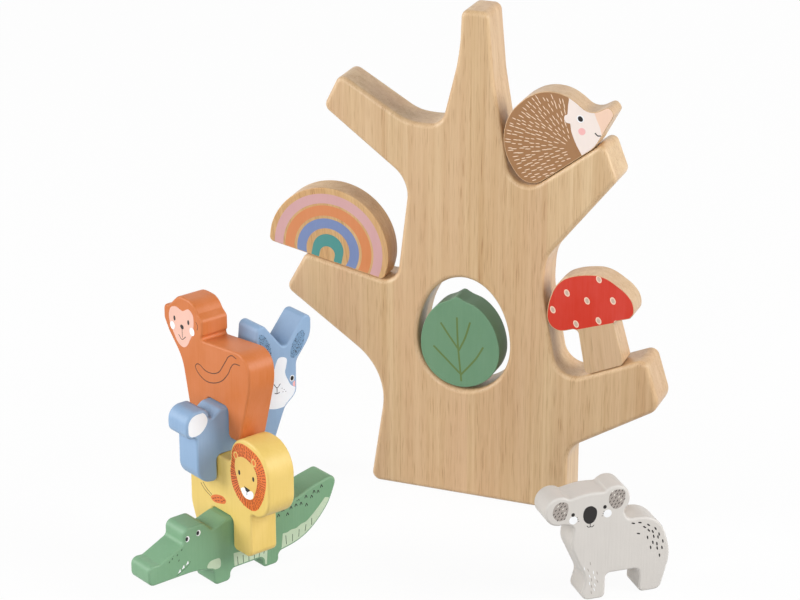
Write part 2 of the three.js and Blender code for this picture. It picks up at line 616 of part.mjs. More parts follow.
// The koala's ears are discs that stand out from the upper corners of its head.
function koalaOutline() {
  return roundedOutline([
    [-KOALA_FORE_FOOT, 0, HEEL_ROUND],
    ...archCorners(KOALA_ARCH_RISE),
    [KOALA_HIND_FOOT, 0, HEEL_ROUND],
    [KOALA_RUMP, KOALA_RUMP_Z, KOALA_RUMP_ROUND],
    [KOALA_BACK_X, KOALA_BACK, KOALA_BACK_ROUND],
    [KOALA_NECK_X, KOALA_BACK, CREASE_ROUND],
    ...earCorners(
      KOALA_RIGHT_EAR_X, KOALA_RIGHT_EAR_Z,
      KOALA_RIGHT_EAR_FROM_DEGREES, KOALA_RIGHT_EAR_TO_DEGREES,
    ),
    [KOALA_CROWN_X, KOALA_CROWN, KOALA_CROWN_ROUND],
    ...earCorners(
      KOALA_LEFT_EAR_X, KOALA_LEFT_EAR_Z,
      KOALA_LEFT_EAR_FROM_DEGREES, KOALA_LEFT_EAR_TO_DEGREES,
    ),
    [KOALA_CHEST_X, KOALA_CHEST_Z, CREASE_ROUND],
    [KOALA_BREAST_X, KOALA_BREAST_Z, KOALA_BREAST_ROUND],
    [KOALA_ANKLE_X, KOALA_ANKLE_Z, KOALA_ANKLE_ROUND],
  ]);
}

// The least distance from the points of one closed outline to the edges of another.
function pointGap(points, edges) {
  const nearest = new THREE.Vector3();
  let least = Infinity;
  edges.forEach((from, i) => {
    const to = edges[(i + 1) % edges.length];
    const edge = new THREE.Line3(
      new THREE.Vector3(from.x, from.y, 0), new THREE.Vector3(to.x, to.y, 0),
    );
    points.forEach(({ x, y }) => {
      const at = new THREE.Vector3(x, y, 0);
      edge.closestPointToPoint(at, true, nearest);
      least = Math.min(least, at.distanceTo(nearest));
    });
  });
  return least;
}

// An outline turned about its own origin and moved to a place.
function placed(outline, tilt, place) {
  return outline.map((p) => p.clone().rotateAround(new THREE.Vector2(), tilt).add(place));
}

// Moves an outline back along its way, from a start where it is clear, until it all but touches
// an edge. The way gives the outline's place at a distance. Returns the last clear place.
function pushUntilNear(outline, tilt, edge, way, start) {
  const clear = (distance) => {
    const moved = placed(outline, tilt, way(distance));
    return Math.min(pointGap(moved, edge), pointGap(edge, moved)) > CLEARANCE - PUSH_END;
  };
  let distance = start;
  for (let step = PUSH_STEP; step > PUSH_END; ) {
    if (clear(distance - step)) distance -= step;
    else step /= 2;
  }
  return way(distance);
}

// A piece that stands on a branch of the tree, pushed up against the trunk.
function forkPiece(name, outline, fork, tree, color, roughness) {
  const mesh = piece(name, sawnBoard(outline, CHARM_THICKNESS, CHARM_RIM), color, roughness);
  const tilt = radians(fork.rise);
  const up = new THREE.Vector2(-Math.sin(tilt), Math.cos(tilt));
  const onBranch = (distance) =>
    fork.corner.clone().addScaledVector(fork.along, distance).addScaledVector(up, CLEARANCE);
  const place = pushUntilNear(outline, tilt, tree, onBranch, fork.length);
  mesh.position.set(place.x, CHARM_Y, place.y);
  mesh.rotation.y = -tilt;
  return mesh;
}

function animal(name, outline, color, roughness) {
  const holder = new THREE.Group();
  holder.add(piece(name, sawnBoard(outline, ANIMAL_THICKNESS, ANIMAL_RIM), color, roughness));
  return holder;
}

// Stands one animal astride another's back, turned a quarter turn.
function stackOn(lower, upper, seatX, back, archRise, quarterTurns) {
  upper.position.set(seatX, 0, back + CLEARANCE - archRise);
  upper.rotation.z = (quarterTurns * Math.PI) / 2;
  lower.add(upper);
}

const CHARM_Y = CHARM_SETBACK + (CHARM_THICKNESS - TREE_THICKNESS) / 2;

const toy = new THREE.Group();
const treeEdge = treeOutline();

toy.add(
  piece("tree", sawnBoard(treeEdge, TREE_THICKNESS, TREE_RIM, [holeOutline()]), 0xd4b68c, 0.62),
  forkPiece("rainbow", rainbowOutline(), lowLeft, treeEdge, 0xd9a5aa, 0.55),
  forkPiece("hedgehog", hedgehogOutline(), highRight, treeEdge, 0xb08460, 0.55),
  forkPiece("mushroom", mushroomOutline(), lowRight, treeEdge, 0xdc4132, 0.5),
);

// The leaf leans a little and is let down into the hole until it rests on the hole's edge.
const leaf = piece("leaf", sawnBoard(leafOutline(), CHARM_THICKNESS, CHARM_RIM), 0x709e7c, 0.55);
const overHole = (height) => new THREE.Vector2(HOLE_X + LEAF_SHIFT, HOLE_BOTTOM + height);
const leafPlace = pushUntilNear(
  leafOutline(), radians(LEAF_LEAN), holeOutline(), overHole, LEAF_HEAD_ROOM / 2,
);
leaf.position.set(leafPlace.x, CHARM_Y, leafPlace.y);
leaf.rotation.y = -radians(LEAF_LEAN);
toy.add(leaf);

const crocodile = animal("crocodile", crocodileOutline(), 0x82a882, 0.5);
const lion = animal("lion", lionOutline(), 0xf0d278, 0.5);
const rabbit = animal("rabbit", rabbitOutline(), 0x96b2d4, 0.5);
const monkey = animal("monkey", monkeyOutline(), 0xd48250, 0.5);
crocodile.position.set(STACK_X, STACK_Y, 0);
crocodile.rotation.z = radians(STACK_TURN);
stackOn(crocodile, lion, 0, CROCODILE_BACK, LION_ARCH_RISE, -1);
stackOn(lion, rabbit, LION_SEAT_X, LION_BACK, RABBIT_ARCH_RISE, 1);
stackOn(rabbit, monkey, RABBIT_SEAT_X, RABBIT_BACK, MONKEY_ARCH_RISE, -1);
toy.add(crocodile);

const koala = animal("koala", koalaOutline(), 0xd8d3cd, 0.55);
koala.position.set(KOALA_X, KOALA_Y, 0);
koala.rotation.z = radians(KOALA_TURN);
toy.add(koala);

export default toy;
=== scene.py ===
"""Looks of a wooden stacking balance toy: a sawn tree, four printed charms and five painted animals."""

import logging
import math
import random
from collections import defaultdict
from dataclasses import dataclass, field
from enum import Enum
from typing import ClassVar, Sequence

import bmesh
import bpy
from mathutils import Color, Matrix, Vector
from mathutils.geometry import delaunay_2d_cdt


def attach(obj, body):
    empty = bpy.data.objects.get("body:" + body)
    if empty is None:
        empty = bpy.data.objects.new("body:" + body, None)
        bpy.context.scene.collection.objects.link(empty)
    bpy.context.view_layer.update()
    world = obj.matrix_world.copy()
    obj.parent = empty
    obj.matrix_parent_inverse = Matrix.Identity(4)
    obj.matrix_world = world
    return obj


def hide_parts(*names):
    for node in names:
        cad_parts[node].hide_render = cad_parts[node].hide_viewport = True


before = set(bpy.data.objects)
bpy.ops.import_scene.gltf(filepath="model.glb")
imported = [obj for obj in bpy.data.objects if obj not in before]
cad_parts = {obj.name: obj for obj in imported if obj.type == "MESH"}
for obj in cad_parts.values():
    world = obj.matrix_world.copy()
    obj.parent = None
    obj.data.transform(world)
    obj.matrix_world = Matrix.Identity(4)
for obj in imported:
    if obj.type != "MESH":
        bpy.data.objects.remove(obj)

LOG = logging.getLogger("balance_toy")
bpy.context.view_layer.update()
MM = 0.001
SEED = 7

Point = tuple[float, float]
Points = tuple[Point, ...]
Line = Sequence[Point]
Triple = tuple[float, float, float]
Node, Socket, Outputs = bpy.types.Node, bpy.types.NodeSocket, bpy.types.NodeOutputs
Mesh, Corner = bmesh.types.BMesh, bmesh.types.BMVert


# --- curves


def flow(points: Line, closed: bool = True, cuts: int = 6) -> list[Point]:
    """Draws a smooth line through a few points.

    Args:
        points: the points, in millimetres on a face.
        closed: whether the line returns to its first point.
        cuts: how many short lines stand between two points.

    Returns:
        The points of the smooth line.
    """
    spots = [Vector(p) for p in points]
    count = len(spots)
    line: list[Point] = []
    for i in range(count if closed else count - 1):
        here, there = spots[i], spots[(i + 1) % count]
        before = spots[i - 1] if closed or i else here * 2 - there
        after = spots[(i + 2) % count] if closed or i + 2 < count else there * 2 - here
        for k in range(cuts):
            t = k / cuts
            bend = (there - before) * t + (before * 2 - here * 5 + there * 4 - after) * t * t
            bend += (here * 3 - before - there * 3 + after) * t**3
            line.append((here + bend * 0.5)[:])
    return line if closed else [*line, spots[-1][:]]


def fair(loop: Sequence[Vector], step: float = math.radians(4), long_edge: float = 2.5) -> list[Vector]:
    """Rounds the short chords of a sawn outline back to the curve that they stand for.

    Args:
        loop: the corners of the outline, in order.
        step: the turn that one new chord may have.
        long_edge: how many times longer a straight edge is than the chord beside it.

    Returns:
        The corners of the smoother outline.
    """
    count = len(loop)
    ways = [end - start for start, end in sides(loop)]
    tangents = []
    for before, after in zip(ways[-1:] + ways, ways):
        if before.length > long_edge * after.length:
            tangents.append(before.normalized())
        elif after.length > long_edge * before.length:
            tangents.append(after.normalized())
        else:
            tangents.append((before.normalized() + after.normalized()).normalized())
    smooth = []
    for i in range(count):
        chord, start, end = ways[i], tangents[i], tangents[(i + 1) % count]
        cuts = max(1, math.ceil((chord.angle(start) + chord.angle(end)) / step))
        for k in range(cuts):
            t = k / cuts
            spot = loop[i] + chord * (t * t * (3 - 2 * t))
            spot += (start * (t * (1 - t) ** 2) - end * (t * t * (1 - t))) * chord.length
            smooth.append(spot)
    return smooth


def sides(line: Sequence) -> list[tuple]:
    """Gives the sides of a closed line, each as its two ends."""
    return list(zip(line, [*line[1:], line[0]]))


def area(line: Sequence[Point | Vector]) -> float:
    """Gives the area inside a closed line, below zero where the line runs clockwise."""
    return sum(a[0] * b[1] - b[0] * a[1] for a, b in sides(line)) / 2


def inside(spot: Point | Vector, line: Line) -> bool:
    """Says whether a point lies inside a closed line.

    Args:
        spot: the point.
        line: the corners of the closed line.

    Returns:
        True where the point is inside.
    """
    x, z = spot
    hit = False
    for (x0, z0), (x1, z1) in sides(line):
        if (z0 > z) != (z1 > z) and x < x0 + (z - z0) * (x1 - x0) / (z1 - z0):
            hit = not hit
    return hit


def polar(middle: Point, reach: float, way: float) -> Point:
    """Gives the point that lies some way off a middle, the way in radians."""
    return middle[0] + reach * math.cos(way), middle[1] + reach * math.sin(way)


def copies(shape: Points, spots: Points) -> list[list[Point]]:
    """Repeats a small shape at several spots."""
    return [[(x + dx, z + dz) for dx, dz in shape] for x, z in spots]


# --- shader graphs


class Graph:
    """Places nodes in a shader graph and joins them."""

    grid: ClassVar[tuple[int, int, int]] = (190, 160, 3)

    def __init__(self, tree: bpy.types.NodeTree) -> None:
        """Takes the graph that the nodes go into."""
        self.tree = tree

    def add(self, kind: str, inputs: dict | None = None, **settings: object) -> Node:
        """Adds a node, sets it and joins or sets its inputs.

        Args:
            kind: the node's Blender type.
            inputs: an output socket or a plain value for each input, by name or place.
            settings: the node's own settings.

        Returns:
            The new node.
        """
        count, (column, row, rows) = len(self.tree.nodes), self.grid
        node = self.tree.nodes.new(kind)
        node.location = (count * column, -row * (count % rows))
        for name, value in settings.items():
            setattr(node, name, value)
        self.feed(node, inputs or {})
        return node

    def feed(self, node: Node, inputs: dict) -> None:
        """Joins or sets the inputs of a node.

        Args:
            node: the node.
            inputs: an output socket or a plain value for each input, by name or place.
        """
        for name, value in inputs.items():
            if isinstance(value, Socket):
                self.tree.links.new(value, node.inputs[name])
            else:
                node.inputs[name].default_value = value

    def math(self, operation: str, *terms: object) -> Socket:
        """Adds a Math node and gives its result."""
        return self.add("ShaderNodeMath", dict(enumerate(terms)), operation=operation).outputs[0]

    def times(self, first: object, second: object) -> Socket:
        """Multiplies two values."""
        return self.math("MULTIPLY", first, second)

    def plus(self, first: object, share: object, base: object) -> Socket:
        """Adds a share of a value to a base."""
        return self.math("MULTIPLY_ADD", first, share, base)

    def centred(self, value: object) -> Socket:
        """Moves a value from 0 to 1 so that its middle is zero."""
        return self.math("SUBTRACT", value, 0.5)

    def spread(self, value: object, low: float, high: float, to_low: float = 0.0, to_high: float = 1.0) -> Socket:
        """Maps a range of values to another one and holds it there."""
        inputs = {0: value, 1: low, 2: high, 3: to_low, 4: to_high}
        return self.add("ShaderNodeMapRange", inputs, clamp=True).outputs[0]

    def blend(self, share: object, first: object, second: object) -> Socket:
        """Blends two colours by a share."""
        return self.add("ShaderNodeMix", {0: share, 6: first, 7: second}, data_type="RGBA").outputs[2]


@dataclass(frozen=True)
class Noise:
    """Soft noise: how often it changes in a metre along each axis, and how fine it is."""

    often: Triple
    detail: float = 2.0
    roughness: float = 0.5

    def at(self, graph: Graph, place: Socket) -> Socket:
        """Gives the noise's value at a place."""
        scaled = graph.add("ShaderNodeVectorMath", {0: place, 1: self.often}, operation="MULTIPLY").outputs[0]
        inputs = {"Vector": scaled, "Scale": 1.0, "Detail": self.detail, "Roughness": self.roughness}
        return graph.add("ShaderNodeTexNoise", inputs, noise_dimensions="3D").outputs[0]


VECTOR, COLOR, VALUE = "NodeSocketVector", "NodeSocketColor", "NodeSocketFloat"


class SharedGroup:
    """A shader group that several finishes use, built once."""

    name: ClassVar[str] = ""
    takes: ClassVar[dict[str, str]] = {}
    gives: ClassVar[dict[str, str]] = {"Color": COLOR, "Roughness": VALUE, "Height": VALUE}

    @classmethod
    def tree(cls) -> bpy.types.NodeTree:
        """Makes the group at its first use.

        Returns:
            The group's graph.
        """
        made = bpy.data.node_groups.get(cls.name)
        if made:
            return made
        made = bpy.data.node_groups.new(cls.name, "ShaderNodeTree")
        for way, sockets in (("INPUT", cls.takes), ("OUTPUT", cls.gives)):
            for label, kind in sockets.items():
                made.interface.new_socket(label, in_out=way, socket_type=kind)
        graph = Graph(made)
        results = cls.wire(graph, graph.add("NodeGroupInput").outputs)
        graph.add("NodeGroupOutput", results)
        return made

    @classmethod
    def wire(cls, graph: Graph, given: Outputs) -> dict[str, Socket]:
        """Joins the group's nodes.

        Args:
            graph: the graph to fill.
            given: the sockets of the group's inputs.

        Returns:
            What goes to each of the group's outputs.
        """
        raise NotImplementedError

    @classmethod
    def place(cls, graph: Graph, inputs: dict) -> Outputs:
        """Places the group in a material, joins its inputs and gives its outputs."""
        return graph.add("ShaderNodeGroup", inputs, node_tree=cls.tree()).outputs


class SawnGrain(SharedGroup):
    """Straight fine grain: soft growth streaks, fibres, short dark pores and glued staves."""

    name = "sawn_grain"
    takes = {"Vector": VECTOR, "Pale": COLOR, "Deep": COLOR, "Pore": COLOR, "Blush": COLOR}
    takes |= {"Stave": VALUE, "Stave Tone": VALUE}
    streaks = Noise((240, 240, 4), 4.0, 0.62)
    fibres = Noise((1000, 1000, 16), 3.0, 0.6)
    tints = Noise((34, 34, 4))
    specks = Noise((2300, 2300, 66), 1.0)
    stave_depth = 0.31
    pore_cut = (0.56, 0.69)
    pore_by_streak = (0.32, 0.62, 0.15, 1.0)
    pore_share = 0.52
    streak_range = (0.3, 0.7)
    streak_share = 0.5
    tone_range = (0.1, 0.9)
    blush_range = (0.4, 0.68, 0.0, 0.5)
    rough_base, rough_pore, rough_fibre = 0.40, 0.12, 0.16
    pore_height = -0.8

    @classmethod
    def wire(cls, graph: Graph, given: Outputs) -> dict[str, Socket]:
        """Joins the grain's nodes: along Z run the fibres, across X lie the staves.

        Args:
            graph: the graph to fill.
            given: the sockets of the group's inputs.

        Returns:
            What goes to each of the group's outputs.
        """
        across = graph.add("ShaderNodeSeparateXYZ", {0: given["Vector"]}).outputs[0]
        stave = graph.math("FLOOR", graph.math("DIVIDE", across, given["Stave"]))
        lot = graph.add("ShaderNodeTexWhiteNoise", {"W": stave}, noise_dimensions="1D").outputs[0]
        shift = graph.add("ShaderNodeCombineXYZ", {0: 0.0, 1: graph.times(lot, cls.stave_depth), 2: lot}).outputs[0]
        board = graph.add("ShaderNodeVectorMath", {0: given["Vector"], 1: shift}, operation="ADD").outputs[0]
        kinds = (cls.streaks, cls.fibres, cls.tints, cls.specks)
        streak, fibre, tint, speck = (noise.at(graph, board) for noise in kinds)
        pore = graph.times(graph.spread(speck, *cls.pore_cut), graph.spread(streak, *cls.pore_by_streak))
        tone = graph.times(fibre, 1 - cls.streak_share)
        tone = graph.plus(graph.spread(streak, *cls.streak_range), cls.streak_share, tone)
        tone = graph.plus(graph.centred(lot), given["Stave Tone"], tone)
        wood = graph.blend(graph.spread(tone, *cls.tone_range), given["Pale"], given["Deep"])
        wood = graph.blend(graph.spread(tint, *cls.blush_range), wood, given["Blush"])
        wood = graph.blend(graph.times(pore, cls.pore_share), wood, given["Pore"])
        rough = graph.plus(fibre, cls.rough_fibre, graph.plus(pore, cls.rough_pore, cls.rough_base))
        return {"Color": wood, "Roughness": rough, "Height": graph.plus(pore, cls.pore_height, fibre)}


class PaintCoat(SharedGroup):
    """A thin satin coat of paint: cloudy cover, fine streaks of the brush and the wood felt through it."""

    name = "paint_coat"
    takes = {"Vector": VECTOR, "Color": COLOR, "Cloud": VALUE}
    covers = Noise((60, 60, 38), 3.0, 0.55)
    brushes = Noise((900, 900, 45))
    peels = Noise((1700, 1700, 1700), 1.0)
    brush_share = 0.45
    fading = -0.8
    rough_base, rough_brush, rough_cover = 0.30, 0.12, 0.14
    peel_height = 0.35

    @classmethod
    def wire(cls, graph: Graph, given: Outputs) -> dict[str, Socket]:
        """Joins the paint's nodes: the brush ran along Z.

        Args:
            graph: the graph to fill.
            given: the sockets of the group's inputs.

        Returns:
            What goes to each of the group's outputs.
        """
        kinds = (cls.covers, cls.brushes, cls.peels)
        cover, brush, peel = (noise.at(graph, given["Vector"]) for noise in kinds)
        change = graph.plus(graph.centred(brush), cls.brush_share, graph.centred(cover))
        value = graph.plus(change, given["Cloud"], 1.0)
        full = graph.plus(change, graph.times(given["Cloud"], cls.fading), 1.0)
        inputs = {"Saturation": full, "Value": value, "Color": given["Color"]}
        paint = graph.add("ShaderNodeHueSaturation", inputs).outputs[0]
        rough = graph.plus(cover, cls.rough_cover, graph.plus(brush, cls.rough_brush, cls.rough_base))
        return {"Color": paint, "Roughness": rough, "Height": graph.plus(peel, cls.peel_height, brush)}


class RimWearAndHighlight(SharedGroup):
    """Rubbed edges and painted highlight: where the rim is rounded, the colour is paler, partly for a thinner, rubbed
    finish and partly as a painted highlight of light caught on the rounding.
    """

    name = "rim_wear_and_highlight"
    takes = {"Vector": VECTOR, "Color": COLOR, "Wear And Highlight": COLOR, "Rim": VALUE, "Share": VALUE}
    gives = {"Color": COLOR}
    rub_and_highlight_patches = Noise((120, 120, 120), 3.0)
    rub_and_highlight_range = (0.25, 0.7, 0.35, 1.0)

    @classmethod
    def wire(cls, graph: Graph, given: Outputs) -> dict[str, Socket]:
        """Joins the nodes of the wear and the painted highlight."""
        # Painted highlight: the rounded rims blend towards a paler colour, partly for rubbed wear and partly for light
        # caught on the rounding.
        patchy = graph.spread(cls.rub_and_highlight_patches.at(graph, given["Vector"]), *cls.rub_and_highlight_range)
        share = graph.times(graph.times(given["Rim"], patchy), given["Share"])
        return {"Color": graph.blend(share, given["Color"], given["Wear And Highlight"])}


# --- finishes


def linear(colour: Triple) -> tuple[float, float, float, float]:
    """Turns a colour as a screen shows it, 0 to 255, into the linear one that a shader takes, with full alpha."""
    red, green, blue = Color([channel / 255 for channel in colour]).from_srgb_to_scene_linear()
    return red, green, blue, 1.0


def blank(owners: bpy.types.bpy_prop_collection, name: str) -> tuple[bpy.types.ID, Graph]:
    """Makes a material or a world with an empty graph, and gives both."""
    made = owners.new(name)
    made.use_nodes = True
    made.node_tree.nodes.clear()
    return made, Graph(made.node_tree)


@dataclass(frozen=True)
class Finish:
    """What a piece is covered with: the name of its material and its slot."""

    name: str
    slot: str
    sheen: ClassVar[float] = 0.32
    bump_depth: ClassVar[float] = 0.0004

    def material(self) -> bpy.types.Material:
        """Makes the material at its first use.

        Returns:
            The finish's material.
        """
        made = bpy.data.materials.get(self.name)
        if not made:
            made, graph = blank(bpy.data.materials, self.name)
            shader = graph.add("ShaderNodeBsdfPrincipled", {"Specular IOR Level": self.sheen})
            graph.add("ShaderNodeOutputMaterial", {"Surface": shader.outputs[0]})
            self.dress(graph, shader, graph.add("ShaderNodeTexCoord").outputs["Object"])
        return made

    def dress(self, graph: Graph, shader: Node, place: Socket) -> None:
        """Joins the finish's nodes to the shader.

        Args:
            graph: the material's graph.
            shader: its shader.
            place: where on the piece the shader looks.
        """
        raise NotImplementedError

    def coat(self, graph: Graph, shader: Node, coat: Outputs, colour: Socket, strength: float) -> None:
        """Joins a coat's colour, its roughness and its height, at the strength given, to the shader."""
        height = {"Strength": strength, "Distance": self.bump_depth, "Height": coat["Height"]}
        normal = graph.add("ShaderNodeBump", height).outputs[0]
        graph.feed(shader, {"Base Color": colour, "Roughness": coat["Roughness"], "Normal": normal})

    @staticmethod
    def rubbed_and_highlit(graph: Graph, place: Socket, colour: Socket, wear_and_highlight: Triple, share: float) -> Socket:
        """Gives a coat's colour, blended by a share towards a paler colour at the rounded rims: partly rubbed wear,
        partly a painted highlight.
        """
        rim = graph.add("ShaderNodeAttribute", attribute_name="rim").outputs["Fac"]
        wear_and_highlight_inputs = {"Vector": place, "Color": colour, "Wear And Highlight": linear(wear_and_highlight), "Rim": rim, "Share": share}
        return RimWearAndHighlight.place(graph, wear_and_highlight_inputs)["Color"]


@dataclass(frozen=True)
class WoodFinish(Finish):
    """Clear-coated bare wood."""

    pale: Triple
    deep: Triple
    pore: Triple
    blush: Triple
    stave: float
    stave_tone: float
    lean: float = 0.0
    bump: float = 0.22
    lacquer: float = 0.42
    lacquer_rough: float = 0.32
    paler: float = 1.07
    wear_and_highlight: float = 0.06

    def dress(self, graph: Graph, shader: Node, place: Socket) -> None:
        """Joins the lacquer, the grain and the paler rims, partly rubbed and partly a painted highlight, to the
        shader.

        Args:
            graph: the material's graph.
            shader: its shader.
            place: where on the piece the shader looks.
        """
        graph.feed(shader, {"Coat Weight": self.lacquer, "Coat Roughness": self.lacquer_rough})
        turned = graph.add("ShaderNodeMapping", {"Vector": place, "Rotation": (0.0, math.radians(self.lean), 0.0)})
        grain = {"Vector": turned.outputs[0], "Stave": self.stave * MM, "Stave Tone": self.stave_tone}
        grain |= {"Pale": linear(self.pale), "Deep": linear(self.deep)}
        grain |= {"Pore": linear(self.pore), "Blush": linear(self.blush)}
        wood = SawnGrain.place(graph, grain)
        # Paler rim colour: partly rubbed wear, partly a painted highlight.
        bright = tuple(min(255.0, c * self.paler) for c in self.pale)
        self.coat(graph, shader, wood, self.rubbed_and_highlit(graph, place, wood["Color"], bright, self.wear_and_highlight), self.bump)


@dataclass(frozen=True)
class PaintFinish(Finish):
    """Satin paint on all sides of an animal or the leaf."""

    colour: Triple
    cloud: float = 0.16
    bump: float = 0.16
    whiter: float = 0.25
    wear_and_highlight: float = 0.1

    def dress(self, graph: Graph, shader: Node, place: Socket) -> None:
        """Joins the paint and its paler rims, partly rubbed and partly a painted highlight, to the shader."""
        paint = PaintCoat.place(graph, {"Vector": place, "Color": linear(self.colour), "Cloud": self.cloud})
        # Paler rim colour: partly rubbed wear, partly a painted highlight.
        bright = tuple(c + (255 - c) * self.whiter for c in self.colour)
        self.coat(graph, shader, paint, self.rubbed_and_highlit(graph, place, paint["Color"], bright, self.wear_and_highlight), self.bump)


@dataclass(frozen=True)
class InkFinish(Finish):
    """Ink printed on a face."""

    colour: Triple
    cloud: float = 0.10
    bump: float = 0.08

    def dress(self, graph: Graph, shader: Node, place: Socket) -> None:
        """Joins the ink to the shader."""
        ink = PaintCoat.place(graph, {"Vector": place, "Color": linear(self.colour), "Cloud": self.cloud})
        self.coat(graph, shader, ink, ink["Color"], self.bump)


class Ink(Enum):
    """The inks of the prints."""

    BLACK = InkFinish("black_ink", "dark_ink", (36, 33, 32))
    LINE = InkFinish("brown_line_ink", "dark_ink", (84, 52, 36))
    OLIVE = InkFinish("olive_ink", "dark_ink", (104, 128, 74))
    STONE = InkFinish("stone_ink", "dark_ink", (172, 163, 156))
    SLATE = InkFinish("slate_ink", "dark_ink", (119, 153, 187))
    MOSS = InkFinish("moss_ink", "dark_ink", (58, 84, 62))
    WHITE = InkFinish("white_ink", "pale_ink", (252, 253, 255))
    SNOW = InkFinish("snow_ink", "pale_ink", (243, 249, 255))
    CREAM = InkFinish("cream_ink", "pale_ink", (250, 226, 200))
    FROST = InkFinish("frost_ink", "pale_ink", (236, 234, 226))
    MINT = InkFinish("mint_ink", "pale_ink", (203, 222, 193))
    DUN = InkFinish("dun_ink", "pale_ink", (211, 184, 165))
    BLUSH = InkFinish("blush_ink", "warm_ink", (243, 195, 177))
    PETAL = InkFinish("petal_ink", "warm_ink", (251, 237, 229))
    PEACH = InkFinish("peach_ink", "warm_ink", (251, 216, 192))
    ROSE = InkFinish("rose_ink", "warm_ink", (251, 190, 188))
    RUST = InkFinish("rust_ink", "warm_ink", (228, 119, 57))
    BRICK = InkFinish("brick_ink", "warm_ink", (132, 52, 24))
    SAND = InkFinish("sand_ink", "warm_ink", (235, 196, 110))
    BARK = InkFinish("bark_ink", "hedgehog_print", (167, 123, 84))
    RED = InkFinish("red_ink", "mushroom_print", (214, 61, 44))
    PINK = InkFinish("pink_band_ink", "rainbow_print", (219, 173, 173))
    ORANGE = InkFinish("orange_band_ink", "rainbow_print", (222, 144, 96))
    LILAC = InkFinish("lilac_band_ink", "rainbow_print", (128, 146, 190))
    TEAL = InkFinish("teal_band_ink", "rainbow_print", (86, 153, 148))


# --- boards


def shown(name: str, data: bpy.types.ID) -> bpy.types.Object:
    """Puts a mesh, a lamp or a camera into the scene."""
    made = bpy.data.objects.new(name, data)
    bpy.context.scene.collection.objects.link(made)
    return made


def meshed(name: str, mesh: Mesh, material: bpy.types.Material) -> bpy.types.Object:
    """Puts a finished mesh into the scene.

    Args:
        name: the object's name.
        mesh: the mesh, which is used up.
        material: its material.

    Returns:
        The new object.
    """
    data = bpy.data.meshes.new(name)
    mesh.to_mesh(data)
    mesh.free()
    data.materials.append(material)
    return shown(name, data)


def corners_of(geometry: Sequence) -> list[Corner]:
    """Picks the corners out of what an operator made."""
    return [g for g in geometry if isinstance(g, Corner)]


@dataclass(frozen=True)
class Seat:
    """Where a piece stands, in millimetres: its own origin, its turn on the floor and its tilt along its face."""

    x: float
    y: float
    z: float
    turn: float = 0.0
    tilt: float = 0.0

    def matrix(self) -> Matrix:
        """Gives the move from the piece's own frame to the toy's."""
        move = Matrix.Translation(Vector((self.x, self.y, self.z)) * MM)
        turned = Matrix.Rotation(math.radians(self.turn), 4, "Z")
        return move @ turned @ Matrix.Rotation(-math.radians(self.tilt), 4, "Y")


